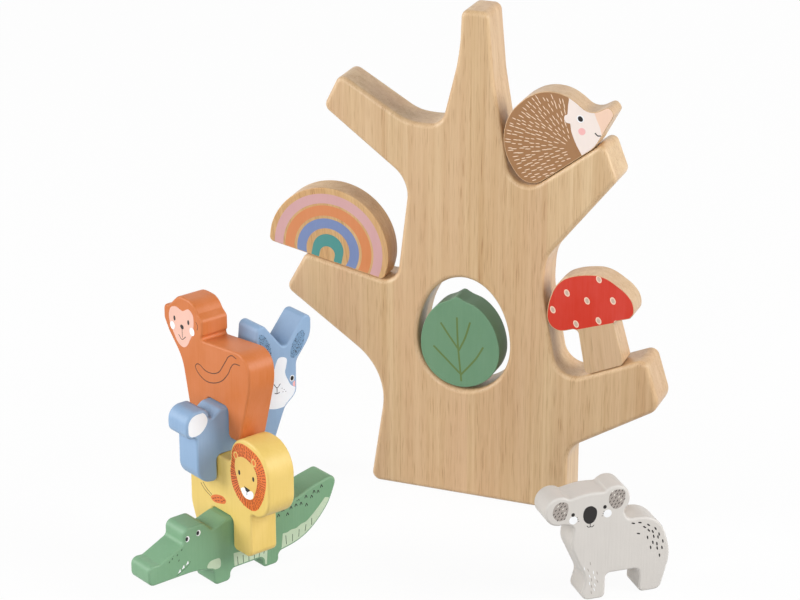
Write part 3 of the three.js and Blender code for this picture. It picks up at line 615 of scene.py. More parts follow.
class Press:
    """Prints marks on both faces of a piece, one thin layer of ink over another."""

    lift: ClassVar[float] = 0.03
    layer_lift: ClassVar[float] = 0.025
    root: ClassVar[float] = 0.12
    round_sides: ClassVar[int] = 28
    dash_sides: ClassVar[int] = 10
    end_round: ClassVar[float] = 0.7
    fill_inside: ClassVar[int] = 1
    fill_near: ClassVar[float] = 1e-5

    def __init__(self, piece: "SawnPiece") -> None:
        """Takes the piece whose faces get the marks."""
        self.piece = piece
        self.sheets: dict[Ink, Mesh] = defaultdict(bmesh.new)

    def lay(self, ink: Ink, spots: Sequence[Vector], layer: float) -> tuple[Mesh, list[Corner]]:
        """Lays the corners of a mark on its ink's sheet, at the height of its layer, and gives the sheet and them."""
        mesh = self.sheets[ink]
        y = -(self.piece.thickness / 2 + self.lift + self.layer_lift * layer) * MM
        return mesh, [mesh.verts.new((p.x * MM, y, p.y * MM)) for p in spots]

    def patch(self, ink: Ink, line: Line, layer: float = 0) -> None:
        """Fills a closed line with ink, and trims it where the flat face ends.

        Args:
            ink: the ink.
            line: the corners of the closed line.
            layer: how many inks lie under it.
        """
        flat = self.piece.flat
        drawn = list(line) if area(line) > 0 else list(line)[::-1]
        spots = [Vector(p) for p in flat + drawn]
        areas = [list(range(len(flat))), list(range(len(flat), len(spots)))]
        filled = delaunay_2d_cdt(spots, [], areas, self.fill_inside, self.fill_near)
        places, _, faces, _, _, origins = filled
        mesh, corners = self.lay(ink, places, layer)
        for face, origin in zip(faces, origins):
            if len(set(origin)) == len(areas):
                mesh.faces.new([corners[i] for i in face])
        bmesh.ops.delete(mesh, geom=[v for v in corners if not v.link_faces], context="VERTS")

    def blob(self, ink: Ink, points: Line, layer: float = 0) -> None:
        """Fills the smooth closed line through a few points."""
        self.patch(ink, flow(points), layer)

    def dot(
        self, ink: Ink, half: Point, *spots: Point, layer: float = 0, lean: float = 0.0, count: int = round_sides
    ) -> None:
        """Prints round or oval dots of one kind.

        Args:
            ink: the ink.
            half: a dot's half width and half height.
            spots: the middles of the dots.
            layer: how many inks lie under them.
            lean: their turn in degrees.
            count: how many sides each has.
        """
        turn = Matrix.Rotation(math.radians(lean), 2)
        turns = [math.tau * k / count for k in range(count)]
        shape = [turn @ Vector((half[0] * math.cos(t), half[1] * math.sin(t))) for t in turns]
        for spot in spots:
            ring = [Vector(spot) + corner for corner in shape]
            if all(inside(p, self.piece.flat) for p in ring):
                mesh, corners = self.lay(ink, ring, layer)
                mesh.faces.new(corners)
            else:
                self.patch(ink, [p[:] for p in ring], layer)

    def dash(self, ink: Ink, size: Point, way: float, *spots: Point, layer: float = 0) -> None:
        """Prints short dashes of one length and width that point a given way, in degrees."""
        self.dot(ink, (size[0] / 2, size[1] / 2), *spots, layer=layer, lean=way, count=self.dash_sides)

    def stroke(self, ink: Ink, width: float, *lines: Line, layer: float = 0, rise: float = 0) -> None:
        """Draws thin lines of even width with round ends.

        Args:
            ink: the ink.
            width: their width.
            lines: a few points that each line passes.
            layer: how many inks lie under the first.
            rise: how many layers each lies above the one before, where they cross.
        """
        for number, points in enumerate(lines):
            line = [Vector(p) for p in flow(points, False)]
            left, right = [], []
            for i, here in enumerate(line):
                way = (line[min(i + 1, len(line) - 1)] - line[max(i - 1, 0)]).normalized() * (width / 2)
                across = Vector((-way.y, way.x))
                ends = [-self.end_round] * (i == 0) + [0.0] + [self.end_round] * (i == len(line) - 1)
                for end in ends:
                    reach = math.sqrt(1 - end * end)
                    left.append((here + across * reach + way * end)[:])
                    right.append((here - across * reach + way * end)[:])
            self.patch(ink, left + right[::-1], layer + number * rise)

    def finish(self) -> None:
        """Gives the marks their thickness, repeats them on the far face and makes each ink a piece."""
        for ink, mesh in self.sheets.items():
            sunk = bmesh.ops.extrude_face_region(mesh, geom=mesh.faces[:])["geom"]
            bmesh.ops.translate(mesh, verts=corners_of(sunk), vec=(0, self.root * MM, 0))
            twin = bmesh.ops.duplicate(mesh, geom=mesh.verts[:] + mesh.edges[:] + mesh.faces[:])["geom"]
            bmesh.ops.scale(mesh, vec=(1, -1, 1), verts=corners_of(twin))
            bmesh.ops.recalc_face_normals(mesh, faces=mesh.faces[:])
            name = f"{self.piece.node}_{ink.value.name}"
            made = self.piece.place(mesh, name, ink.value)
            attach(made, self.piece.node)


@dataclass
class SawnPiece:
    """A piece sawn from one board, with rounded rims: the shape of its CAD node, finely rounded."""

    node: str
    seat: Seat
    thickness: float
    rim: float
    finish: Finish
    rim_steps: int = 6
    flat: list[Point] = field(default_factory=list)
    weld: ClassVar[float] = 1e-6
    on_plane: ClassVar[float] = 1e-7
    straight: ClassVar[float] = math.radians(0.2)
    sharpest: ClassVar[float] = 0.5
    even_weight: ClassVar[int] = 80

    def loops(self) -> list[list[Vector]]:
        """Reads the sawn outline from the middle of the CAD node.

        Returns:
            The outline and, after it, the outline of a hole, in millimetres on the board's face.
        """
        cut = bmesh.new()
        cut.from_mesh(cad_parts[self.node].data)
        bmesh.ops.remove_doubles(cut, verts=cut.verts[:], dist=self.weld)
        bmesh.ops.transform(cut, matrix=self.seat.matrix().inverted(), verts=cut.verts[:])
        plane = {"plane_co": (0, 0, 0), "plane_no": (0, 1, 0), "clear_inner": True, "clear_outer": True}
        everything = cut.verts[:] + cut.edges[:] + cut.faces[:]
        bmesh.ops.bisect_plane(cut, geom=everything, dist=self.on_plane, **plane)
        found, left = [], dict.fromkeys(cut.verts)
        while left:
            corner = next(iter(left))
            del left[corner]
            walk, edge = [corner], corner.link_edges[0]
            while (corner := edge.other_vert(corner)) in left:
                del left[corner]
                walk.append(corner)
                edge = next(e for e in corner.link_edges if e is not edge)
            found.append([Vector((v.co.x, v.co.z)) / MM for v in walk])
        cut.free()
        found.sort(key=lambda loop: -abs(area(loop)))
        turned = [loop if (area(loop) > 0) == (i == 0) else loop[::-1] for i, loop in enumerate(found)]
        return [fair(self.begun(self.corners(loop))) for loop in turned]

    @staticmethod
    def begun(loop: list[Vector]) -> list[Vector]:
        """Starts an outline so that its longest edge closes it: no inset folds that edge, and prints fill from it."""
        edges = [(here - loop[i - 1]).length for i, here in enumerate(loop)]
        start = edges.index(max(edges))
        return loop[start:] + loop[:start]

    def corners(self, loop: list[Vector]) -> list[Vector]:
        """Leaves out the points that lie on a straight edge."""
        turns = [(end - here).angle(here - loop[i - 1]) for i, (here, end) in enumerate(sides(loop))]
        return [here for here, turn in zip(loop, turns) if turn > self.straight]

    def profile(self) -> list[Triple]:
        """Gives the section of the edge, from the near flat to the far one.

        Returns:
            For each step how far it is set in, how deep it lies and how much it is rubbed and painted paler as a
            highlight.
        """
        wall = self.thickness / 2 - self.rim
        steps = []
        for k in range(self.rim_steps + 1):
            turn = math.pi / 2 * k / self.rim_steps
            steps.append((self.rim * (1 - math.cos(turn)), wall + self.rim * math.sin(turn), math.sin(2 * turn)))
        return [(inset, -depth, wear_and_highlight) for inset, depth, wear_and_highlight in steps[::-1]] + steps

    def inward(self, loop: Sequence[Vector]) -> list[Vector]:
        """Finds the way into the wood.

        Args:
            loop: the corners of an outline.

        Returns:
            For each corner the way in, as long as one millimetre of inset needs.
        """
        ways = []
        for i, (here, end) in enumerate(sides(loop)):
            after = (end - here).normalized()
            along = ((here - loop[i - 1]).normalized() + after).normalized()
            ways.append(Vector((-along.y, along.x)) / max(self.sharpest, along.dot(after)))
        return ways

    def board(self) -> Mesh:
        """Saws the board and rounds its rims.

        Returns:
            The solid in the piece's own frame, with the attribute rim on its rounded edges.
        """
        mesh = bmesh.new()
        rim = mesh.verts.layers.float.new("rim")
        order = mesh.verts.layers.int.new("order")
        loops = self.loops()
        spots = [p for loop in loops for p in loop]
        ways = [way for loop in loops for way in self.inward(loop)]
        near = []
        for loop in loops:
            near += [mesh.edges.new(side) for side in sides([mesh.verts.new((p.x, 0, p.y)) for p in loop])]
        for i, vert in enumerate(mesh.verts):
            vert[order] = i
        ring, verts = near, mesh.verts[:]
        for step, (inset, depth, wear_and_highlight) in enumerate(self.profile()):
            if step:
                grown = bmesh.ops.extrude_edge_only(mesh, edges=ring)["geom"]
                verts = corners_of(grown)
                fresh = set(verts)
                ring = [e for e in grown if isinstance(e, bmesh.types.BMEdge) and set(e.verts) <= fresh]
            for vert in verts:
                spot = spots[vert[order]] + ways[vert[order]] * inset
                vert.co = Vector((spot.x, depth, spot.y)) * MM
                # The rim attribute marks where the rims are rubbed and painted paler as a highlight.
                vert[rim] = wear_and_highlight
        for edges, way in ((near, -1), (ring, 1)):
            bmesh.ops.triangle_fill(mesh, use_beauty=True, edges=edges, normal=(0, way, 0))
        bmesh.ops.recalc_face_normals(mesh, faces=mesh.faces[:])
        self.flat = [(p + way * self.rim)[:] for p, way in zip(loops[0], ways)]
        mesh.verts.layers.int.remove(order)
        return mesh

    def place(self, mesh: Mesh, name: str, finish: Finish) -> bpy.types.Object:
        """Makes a piece of a mesh, in its place on the toy.

        Args:
            mesh: the mesh in the piece's own frame.
            name: the piece's name.
            finish: its finish.

        Returns:
            The new piece.
        """
        bmesh.ops.transform(mesh, matrix=self.seat.matrix(), verts=mesh.verts[:])
        made = meshed(name, mesh, finish.material())
        LOG.info("%s: %d faces, %s", name, len(made.data.polygons), finish.name)
        return made

    def marks(self, press: Press) -> None:
        """Prints the piece's marks. A plain piece has none."""

    def build(self) -> None:
        """Saws the piece, dresses it and prints its marks."""
        made = self.place(self.board(), f"{self.node}_board", self.finish)
        made.data.polygons.foreach_set("use_smooth", [True] * len(made.data.polygons))
        made.modifiers.new("even_shading", "WEIGHTED_NORMAL").weight = self.even_weight
        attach(made, self.node)
        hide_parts(self.node)
        press = Press(self)
        self.marks(press)
        press.finish()


# --- charms on the tree


@dataclass
class Rainbow(SawnPiece):
    """Half a disc of bare wood with four printed bands, each given by the middle and radius of its two edges."""

    base: float = -1.0
    upright: float = 12.0
    chords: int = 48
    bands: tuple[tuple[Ink, Point, Point], ...] = (
        (Ink.PINK, (7.0, 34.4), (6.7, 28.8)),
        (Ink.ORANGE, (6.7, 27.5), (6.4, 21.5)),
        (Ink.LILAC, (6.4, 19.7), (6.2, 13.8)),
        (Ink.TEAL, (6.6, 9.8), (3.8, 4.8)),
    )

    def arch(self, middle: float, radius: float) -> list[Point]:
        """Gives one edge of a band, from its left foot to its right foot.

        Args:
            middle: the height of the arc's middle.
            radius: the arc's radius. A narrow arc stands on straight feet.

        Returns:
            The points of the edge.
        """
        narrow = radius < self.upright
        dip = 0.0 if narrow else math.asin((middle - self.base) / radius)
        turns = [math.pi + dip - k * (math.pi + 2 * dip) / self.chords for k in range(self.chords + 1)]
        arc = [polar((0.0, middle), radius, t) for t in turns]
        return [(-radius, self.base), *arc, (radius, self.base)] if narrow else arc

    def marks(self, press: Press) -> None:
        """Prints the bands."""
        for ink, outer, inner in self.bands:
            press.patch(ink, self.arch(*outer) + self.arch(*inner)[::-1])


@dataclass
class Hedgehog(SawnPiece):
    """A domed block: quills printed on its back, a pale face and a bare wooden rim."""

    whole: Points = ((-20, -10), (90, -10), (90, 60), (-20, 60))
    face: Points = (
        (52.9, 30.6), (50.7, 28.5), (48.3, 25.6), (47.0, 24.3), (45.5, 24.5), (44.1, 23.4), (43.5, 21.9),
        (43.8, 20.6), (44.6, 19.7), (45.2, 19.0), (44.2, 17.0), (42.9, 14.3), (41.1, 7.4), (40.3, 1.2),
    )
    past_face: Points = ((40.0, -8.0), (90.0, -8.0), (90.0, 60.0), (55.8, 36.5))
    snout: Points = ((61.4, 17.5), (60.0, 12.8), (58.9, 8.1), (57.1, 3.7))
    past_snout: Points = ((56.4, -8.0), (90.0, -8.0), (90.0, 60.0), (63.2, 28.5))
    eye: Point = (52.1, 18.2)
    cheek: Point = (48.5, 11.8)
    smile: Points = ((54.6, 7.0), (55.0, 5.1), (56.4, 4.1))
    middle: Point = (38.7, 6.5)
    quill: Point = (3.3, 0.5)
    quill_reach: float = 1.8
    row: float = 3.5
    rows: tuple[int, int] = (2, 16)
    spacing: float = 2.45
    stray: float = 0.25
    uneven: float = 0.7
    lengths: Point = (0.75, 1.2)
    flattest: float = 165.0
    straight_down: float = 270.0

    def marks(self, press: Press) -> None:
        """Prints the coat with its quills, then the face.

        Args:
            press: the press.
        """
        press.patch(Ink.BARK, self.whole)
        face = [*flow(self.face, False), *self.past_face]
        press.patch(Ink.PETAL, face, 1)
        press.patch(Ink.PEACH, [*flow(self.snout, False), *self.past_snout], 2)
        press.dot(Ink.WHITE, (2.1, 2.3), self.eye, layer=2)
        press.dot(Ink.BLACK, (1.4, 1.7), self.eye, layer=3)
        press.dot(Ink.ROSE, (2.1, 2.1), self.cheek, layer=2)
        press.stroke(Ink.BLACK, 0.7, self.smile, layer=3)
        self.quills(press, face)

    def quills(self, press: Press, face: Line) -> None:
        """Prints rows of pale dashes that fan out behind the face.

        Args:
            press: the press.
            face: the closed line of the face, which stays free.
        """
        chance = random.Random(SEED)
        for ring in range(*self.rows):
            radius = ring * self.row
            count = int(math.tau * radius / self.spacing)
            for k in range(count):
                way = math.tau * (k + chance.uniform(-self.stray, self.stray) + 0.5 * (ring % 2)) / count
                spot = polar(self.middle, radius + chance.uniform(-self.uneven, self.uneven), way)
                tips = [polar(spot, end * self.quill_reach, way) for end in (-1, 1)]
                if all(inside(p, self.flat) and not inside(p, face) for p in tips):
                    size = (self.quill[0] * chance.uniform(*self.lengths), self.quill[1])
                    point = math.degrees(way)
                    if point < self.straight_down:
                        point = min(point, self.flattest)
                    press.dash(Ink.CREAM, size, point, spot, layer=1)


@dataclass
class Mushroom(SawnPiece):
    """A red cap with pale dots on a bare stem, sawn from one board."""

    crown: Points = (
        (21.9, 25.6), (24.7, 27.4), (26.4, 30.8), (26.8, 35.4), (25.2, 40.8), (22.2, 45.8), (18.7, 50.6),
        (15.5, 53.6), (12.0, 55.7), (7.0, 57.3), (1.3, 58.5), (-4.1, 58.9), (-8.8, 58.3), (-14.2, 55.8),
        (-19.0, 51.4), (-23.0, 46.3), (-25.6, 41.6), (-26.5, 39.2),
    )
    crown_cuts: int = 4
    cap: Points = ((-60.0, 31.6), (60.0, 21.8), (60.0, 90.0), (-60.0, 90.0))
    dots: Points = (
        (-9.0, 50.2), (0.9, 42.5), (15.9, 38.4), (12.7, 52.8), (-21.2, 42.9), (-10.9, 31.0), (3.0, 29.3),
    )
    cut_dot: Points = ((11.4, 25.9), (11.9, 26.6), (12.8, 26.9), (13.7, 26.5), (14.2, 25.7))

    def loops(self) -> list[list[Vector]]:
        """Reads the sawn outline, and rounds the cap over its straight slopes.

        Returns:
            The outline, in millimetres on the board's face.
        """
        sawn = super().loops()[0]
        crown = [Vector(p) for p in flow(self.crown, False, self.crown_cuts)]
        ends = (crown[0], crown[-1])
        right, left = (min(range(len(sawn)), key=lambda i: (sawn[i] - end).length) for end in ends)
        below = (sawn[left:] + sawn[:left])[1 : (right - left) % len(sawn)]
        return [self.begun(below + crown)]

    def marks(self, press: Press) -> None:
        """Prints the cap and its dots, the last of which the brim cuts."""
        press.patch(Ink.RED, self.cap)
        press.dot(Ink.PEACH, (1.6, 2.3), *self.dots, layer=1)
        press.dot(Ink.DUN, (0.95, 1.55), *self.dots, layer=2)
        press.patch(Ink.PEACH, self.cut_dot, 1)


@dataclass
class Leaf(SawnPiece):
    """A green leaf with printed veins."""

    vein: float = 1.15
    vein_rise: float = 0.3
    veins: tuple[Points, ...] = (
        ((-0.6, 43.7), (-1.0, 26.7), (-0.3, 4.0)),
        ((-0.5, 23.5), (-5.6, 31.2), (-10.8, 39.7)),
        ((-0.5, 23.5), (3.8, 31.6), (7.4, 41.2)),
        ((-0.2, 8.0), (-8.0, 16.2), (-16.2, 24.8)),
        ((-0.2, 8.0), (9.1, 18.0), (14.6, 26.1)),
    )

    def marks(self, press: Press) -> None:
        """Prints the veins."""
        press.stroke(Ink.OLIVE, self.vein, *self.veins, rise=self.vein_rise)


# --- animals


@dataclass
class Crocodile(SawnPiece):
    """The lowest animal of the stack."""

    eyes: Points = ((-39.2, 35.0), (-31.7, 36.4))
    pupils: Points = ((-39.65, 35.1), (-32.15, 36.5))
    squint: float = -8.0
    band: Points = (
        (26.4, 17.4), (29.5, 17.2), (32.3, 18.0), (36.0, 17.9), (39.5, 19.3), (42.8, 19.8), (45.9, 21.6),
        (51.1, 25.6), (57.0, 31.0),
    )
    below_band: Points = ((70.0, 26.0), (46.0, 2.0), (24.6, 2.0))
    belly: Points = ((-8.2, 16.2), (-7.4, 2.0), (14.8, 2.0), (15.6, 13.4), (4.0, 15.2))
    chest: Points = ((-26.3, 13.0), (-25.0, 15.8), (-22.4, 16.6), (-17.7, 16.0), (-17.5, 10.8), (-21.8, 10.5))
    creases: tuple[Points, ...] = (
        ((-5.6, 13.2), (-5.2, 7.6)), ((-1.7, 12.9), (-1.5, 8.0)), ((2.3, 12.3), (2.3, 8.0)),
        ((6.4, 12.4), (6.0, 7.6)), ((10.0, 11.8), (9.4, 8.0)), ((13.4, 12.0), (12.8, 9.2)),
        ((28.5, 15.5), (28.9, 10.0)), ((33.3, 14.8), (33.2, 10.4)), ((38.1, 16.4), (37.7, 12.0)),
        ((43.0, 17.9), (42.3, 14.2)), ((47.2, 20.6), (47.1, 16.6)),
    )
    scale: Points = ((-0.75, -0.8), (0.0, 0.75), (0.8, -0.8))
    scales: Points = (
        (54.5, 38.8), (49.1, 36.9), (52.0, 36.1), (43.3, 35.6), (47.3, 34.4), (37.6, 35.5), (36.1, 32.5),
        (39.7, 32.3), (43.6, 30.4), (32.5, 32.0), (29.7, 35.1), (26.8, 32.2), (30.0, 28.7), (23.6, 29.8),
    )
    freckles: Points = ((-51.6, 24.8), (-49.6, 26.2), (-48.8, 28.0), (-46.2, 27.4), (-45.3, 23.8), (-43.2, 29.6))
    tooth: Points = ((-1.1, -0.9), (0.9, -0.4), (0.5, 1.5))
    teeth: Points = ((-45.1, 16.9), (-42.5, 18.6), (-39.7, 20.2))
    lip: Points = ((-47.0, 15.0), (-44.0, 16.2), (-39.0, 19.0), (-37.6, 20.8))

    def marks(self, press: Press) -> None:
        """Prints the eyes, teeth, scales and pale belly.

        Args:
            press: the press.
        """
        press.dot(Ink.WHITE, (1.45, 1.8), *self.eyes, lean=self.squint)
        press.dot(Ink.BLACK, (0.95, 1.3), *self.pupils, layer=1, lean=self.squint)
        press.patch(Ink.MINT, [*flow(self.band, False), *self.below_band])
        press.patch(Ink.MINT, self.belly)
        press.blob(Ink.MINT, self.chest)
        press.stroke(Ink.MOSS, 0.4, *self.creases, layer=1)
        press.stroke(Ink.BLACK, 0.5, *copies(self.scale, self.scales))
        press.dash(Ink.MOSS, (1.3, 0.6), 60, *self.freckles)
        for line in copies(self.tooth, self.teeth):
            press.patch(Ink.WHITE, line)
        press.stroke(Ink.MOSS, 0.28, self.lip)


@dataclass
class Lion(SawnPiece):
    """Straddles the crocodile."""

    mane: Points = (
        (11.3, 60.9), (14.9, 66.2), (20.9, 68.3), (27.8, 67.8), (34.7, 65.7), (39.2, 62.0), (41.9, 56.1),
        (42.0, 50.1), (39.7, 42.3), (36.0, 35.6), (31.8, 31.6), (26.6, 30.4), (20.7, 31.3), (14.9, 34.5),
        (10.6, 39.8), (9.2, 46.2), (10.2, 53.6),
    )
    face: Points = (
        (13.7, 55.0), (15.2, 57.7), (19.4, 60.0), (24.1, 60.3), (29.3, 58.8), (32.6, 55.8), (34.0, 51.7),
        (33.5, 46.9), (31.6, 41.6), (29.7, 38.2), (25.6, 36.2), (20.9, 36.8), (17.5, 40.9), (14.8, 46.9),
        (13.5, 51.1),
    )
    ears: Points = ((14.6, 59.0), (31.1, 60.4))
    inner_ears: Points = ((14.6, 59.1), (31.1, 60.5))
    eyes: Points = ((17.5, 49.8), (30.5, 50.4))
    muzzle: Points = (
        (18.7, 40.2), (21.7, 42.1), (24.4, 40.9), (28.7, 42.4), (30.4, 41.0), (29.2, 38.0), (25.6, 36.4),
        (21.5, 36.8),
    )
    nose: Points = ((21.9, 43.2), (27.4, 42.6), (25.6, 40.9), (24.3, 40.2), (23.2, 41.1))
    chin: Points = ((24.3, 40.4), (24.2, 38.6))
    tail: tuple[Points, ...] = (
        ((-19.6, 29.8), (-16.2, 27.0), (-10.6, 25.0)), ((-17.6, 31.0), (-14.4, 28.4), (-9.4, 26.2)),
    )
    tuft: Points = (
        (-10.4, 24.4), (-7.5, 26.8), (-3.2, 28.4), (1.6, 28.9), (4.2, 27.3), (2.7, 25.0), (-2.8, 23.2), (-7.7, 22.6),
    )
    tuft_hairs: Points = (
        (-8.0, 24.4), (-6.0, 25.4), (-5.4, 23.8), (-3.2, 26.6), (-3.0, 24.8), (-0.4, 27.4), (0.2, 25.4), (2.2, 26.8),
    )
    middle: Point = (24.4, 49.2)
    hairs: int = 64
    shares: tuple[float, ...] = (0.08, 0.34, 0.6, 0.85)
    stray: float = 0.2
    uneven: float = 0.5
    sway: float = 14.0

    def marks(self, press: Press) -> None:
        """Prints the mane, face and tail.

        Args:
            press: the press.
        """
        press.blob(Ink.RUST, self.mane)
        press.blob(Ink.SAND, self.face, 2)
        press.dot(Ink.SAND, (2.1, 2.4), *self.ears, layer=2.4)
        press.dot(Ink.RUST, (1.3, 1.6), *self.inner_ears, layer=3)
        press.dot(Ink.BLACK, (0.95, 1.5), *self.eyes, layer=3)
        press.blob(Ink.WHITE, self.muzzle, 3)
        press.patch(Ink.BLACK, self.nose, 4)
        press.stroke(Ink.BLACK, 0.4, self.chin, layer=4)
        press.stroke(Ink.LINE, 0.42, *self.tail)
        press.blob(Ink.RUST, self.tuft)
        press.dash(Ink.BRICK, (1.9, 0.6), 18, *self.tuft_hairs, layer=1)
        self.hair(press)

    def hair(self, press: Press) -> None:
        """Prints short dark hairs that stand out from the face, over the mane.

        Args:
            press: the press.
        """
        mane, face = flow(self.mane), flow(self.face)
        chance = random.Random(SEED + 1)
        for k in range(self.hairs):
            way = math.tau * (k + chance.uniform(-self.stray, self.stray)) / self.hairs
            inner, outer = self.edge(face, way), self.edge(mane, way)
            for share in self.shares:
                reach = inner + (outer - inner) * share + chance.uniform(-self.uneven, self.uneven)
                point = math.degrees(way) + chance.uniform(-self.sway, self.sway)
                press.dash(Ink.BRICK, (1.7, 0.5), point, polar(self.middle, reach, way), layer=1)

    def edge(self, line: Line, way: float) -> float:
        """Gives how far a closed line is from the middle of the face, in one direction."""
        x, z = self.middle
        nearest = min(line, key=lambda p: abs(math.remainder(math.atan2(p[1] - z, p[0] - x) - way, math.tau)))
        return math.dist(nearest, self.middle)


@dataclass
class Rabbit(SawnPiece):
    """Straddles the lion, with its long ears up."""

    blaze: Points = (
        (33.0, 61.6), (36.2, 62.0), (39.2, 60.0), (38.6, 55.5), (37.9, 52.0), (39.8, 47.1), (42.2, 43.2),
        (47.5, 39.6), (46.5, 36.5), (39.6, 32.2), (33.0, 31.5), (26.9, 32.8), (22.0, 35.6), (18.5, 39.6),
        (25.0, 43.4), (28.0, 47.5), (29.6, 52.5), (30.8, 57.0),
    )
    eyes: Points = ((42.7, 47.4), (24.0, 48.6))
    cheeks: Points = ((45.0, 43.6), (21.6, 45.0))
    mouth: tuple[Points, ...] = (
        ((30.0, 47.0), (32.1, 44.4), (34.4, 46.2)), ((32.1, 44.4), (32.0, 41.2)),
        ((30.4, 41.6), (32.0, 40.8), (33.8, 41.2)),
    )
    whiskers: Points = (
        (35.6, 43.2), (37.0, 42.0), (36.2, 40.8), (38.2, 40.6), (28.6, 43.6), (27.2, 42.6), (28.0, 41.2),
        (26.4, 41.0),
    )
    tail: Points = (
        (-16.0, 38.8), (-18.2, 43.0), (-22.6, 44.2), (-27.2, 42.6), (-30.4, 38.0), (-29.6, 33.6), (-26.0, 31.0),
        (-21.0, 31.6), (-17.2, 35.0),
    )
    right_ear: Points = (
        (42.4, 60.2), (41.9, 64.2), (43.8, 69.2), (47.4, 73.7), (50.9, 74.6), (51.9, 71.3), (50.8, 66.1),
        (47.9, 62.0), (44.6, 59.6),
    )
    left_ear: Points = (
        (19.6, 79.4), (23.6, 78.4), (27.4, 72.0), (28.6, 66.0), (27.6, 63.8), (24.6, 66.0), (21.4, 71.0),
        (19.4, 76.0),
    )
    tries: int = 130
    fleck: Point = (0.62, 0.34)
    fleck_ways: Point = (40.0, 90.0)

    def marks(self, press: Press) -> None:
        """Prints the blaze, face, tail and ears.

        Args:
            press: the press.
        """
        press.blob(Ink.SNOW, self.blaze)
        press.dot(Ink.WHITE, (1.6, 1.9), *self.eyes, layer=1)
        press.dot(Ink.BLACK, (1.15, 1.45), *self.eyes, layer=2)
        press.dot(Ink.ROSE, (1.9, 1.8), *self.cheeks, layer=1)
        press.stroke(Ink.BLACK, 0.42, *self.mouth, layer=1, rise=0.4)
        press.dot(Ink.BLACK, (0.28, 0.28), *self.whiskers, layer=1, count=8)
        press.blob(Ink.SNOW, self.tail)
        chance = random.Random(SEED + 2)
        for ear in (self.right_ear, self.left_ear):
            line = flow(ear)
            press.patch(Ink.SLATE, line)
            across, up = [(min(row), max(row)) for row in zip(*ear)]
            for _ in range(self.tries):
                spot = (chance.uniform(*across), chance.uniform(*up))
                if inside(spot, line) and inside(spot, self.flat):
                    press.dash(Ink.BLACK, self.fleck, chance.uniform(*self.fleck_ways), spot, layer=1)


@dataclass
class Monkey(SawnPiece):
    """Straddles the rabbit, on top of the stack."""

    face: Points = (
        (-43.9, 57.5), (-41.7, 61.9), (-36.8, 63.7), (-32.9, 63.1), (-30.0, 63.1), (-25.1, 65.6), (-21.4, 64.1),
        (-20.1, 60.9), (-21.0, 52.8), (-24.1, 47.5), (-27.2, 42.9), (-31.2, 41.0), (-35.9, 42.5), (-39.6, 46.8),
        (-43.2, 52.3),
    )
    eyes: Points = ((-38.6, 56.2), (-25.2, 57.6))
    cheeks: Points = ((-40.8, 51.2), (-21.9, 53.1))
    nose: Point = (-31.5, 53.0)
    lip: Points = ((-31.5, 53.0), (-31.4, 46.6))
    smile: Points = ((-34.8, 47.4), (-31.8, 45.4), (-28.2, 48.0))
    tail: Points = (
        (19.4, 50.5), (15.6, 51.1), (12.2, 49.2), (9.6, 45.8), (6.8, 42.0), (3.0, 37.2), (-2.8, 34.3), (-9.5, 33.6),
        (-15.1, 35.4), (-18.0, 35.0), (-19.5, 32.7), (-16.3, 29.5), (-9.7, 27.5), (-2.1, 28.8), (5.6, 32.7),
        (11.5, 38.8), (14.3, 43.6), (17.6, 46.8), (22.6, 47.5),
    )
    ears: tuple[Points, ...] = (
        ((-48.2, 59.0), (-49.6, 56.8), (-48.4, 54.4)), ((-17.9, 60.2), (-16.2, 58.4), (-16.8, 55.8)),
    )

    def marks(self, press: Press) -> None:
        """Prints the face, tail and ears.

        Args:
            press: the press.
        """
        press.blob(Ink.BLUSH, self.face)
        press.dot(Ink.BLACK, (0.95, 1.5), *self.eyes, layer=1)
        press.dot(Ink.WHITE, (2.3, 2.4), *self.cheeks, layer=1)
        press.dot(Ink.BLACK, (1.7, 1.35), self.nose, layer=1)
        press.stroke(Ink.BLACK, 0.4, self.lip, layer=1.3)
        press.stroke(Ink.BLACK, 0.45, self.smile, layer=1.6)
        press.stroke(Ink.LINE, 0.55, self.tail)
        press.stroke(Ink.LINE, 0.4, *self.ears)


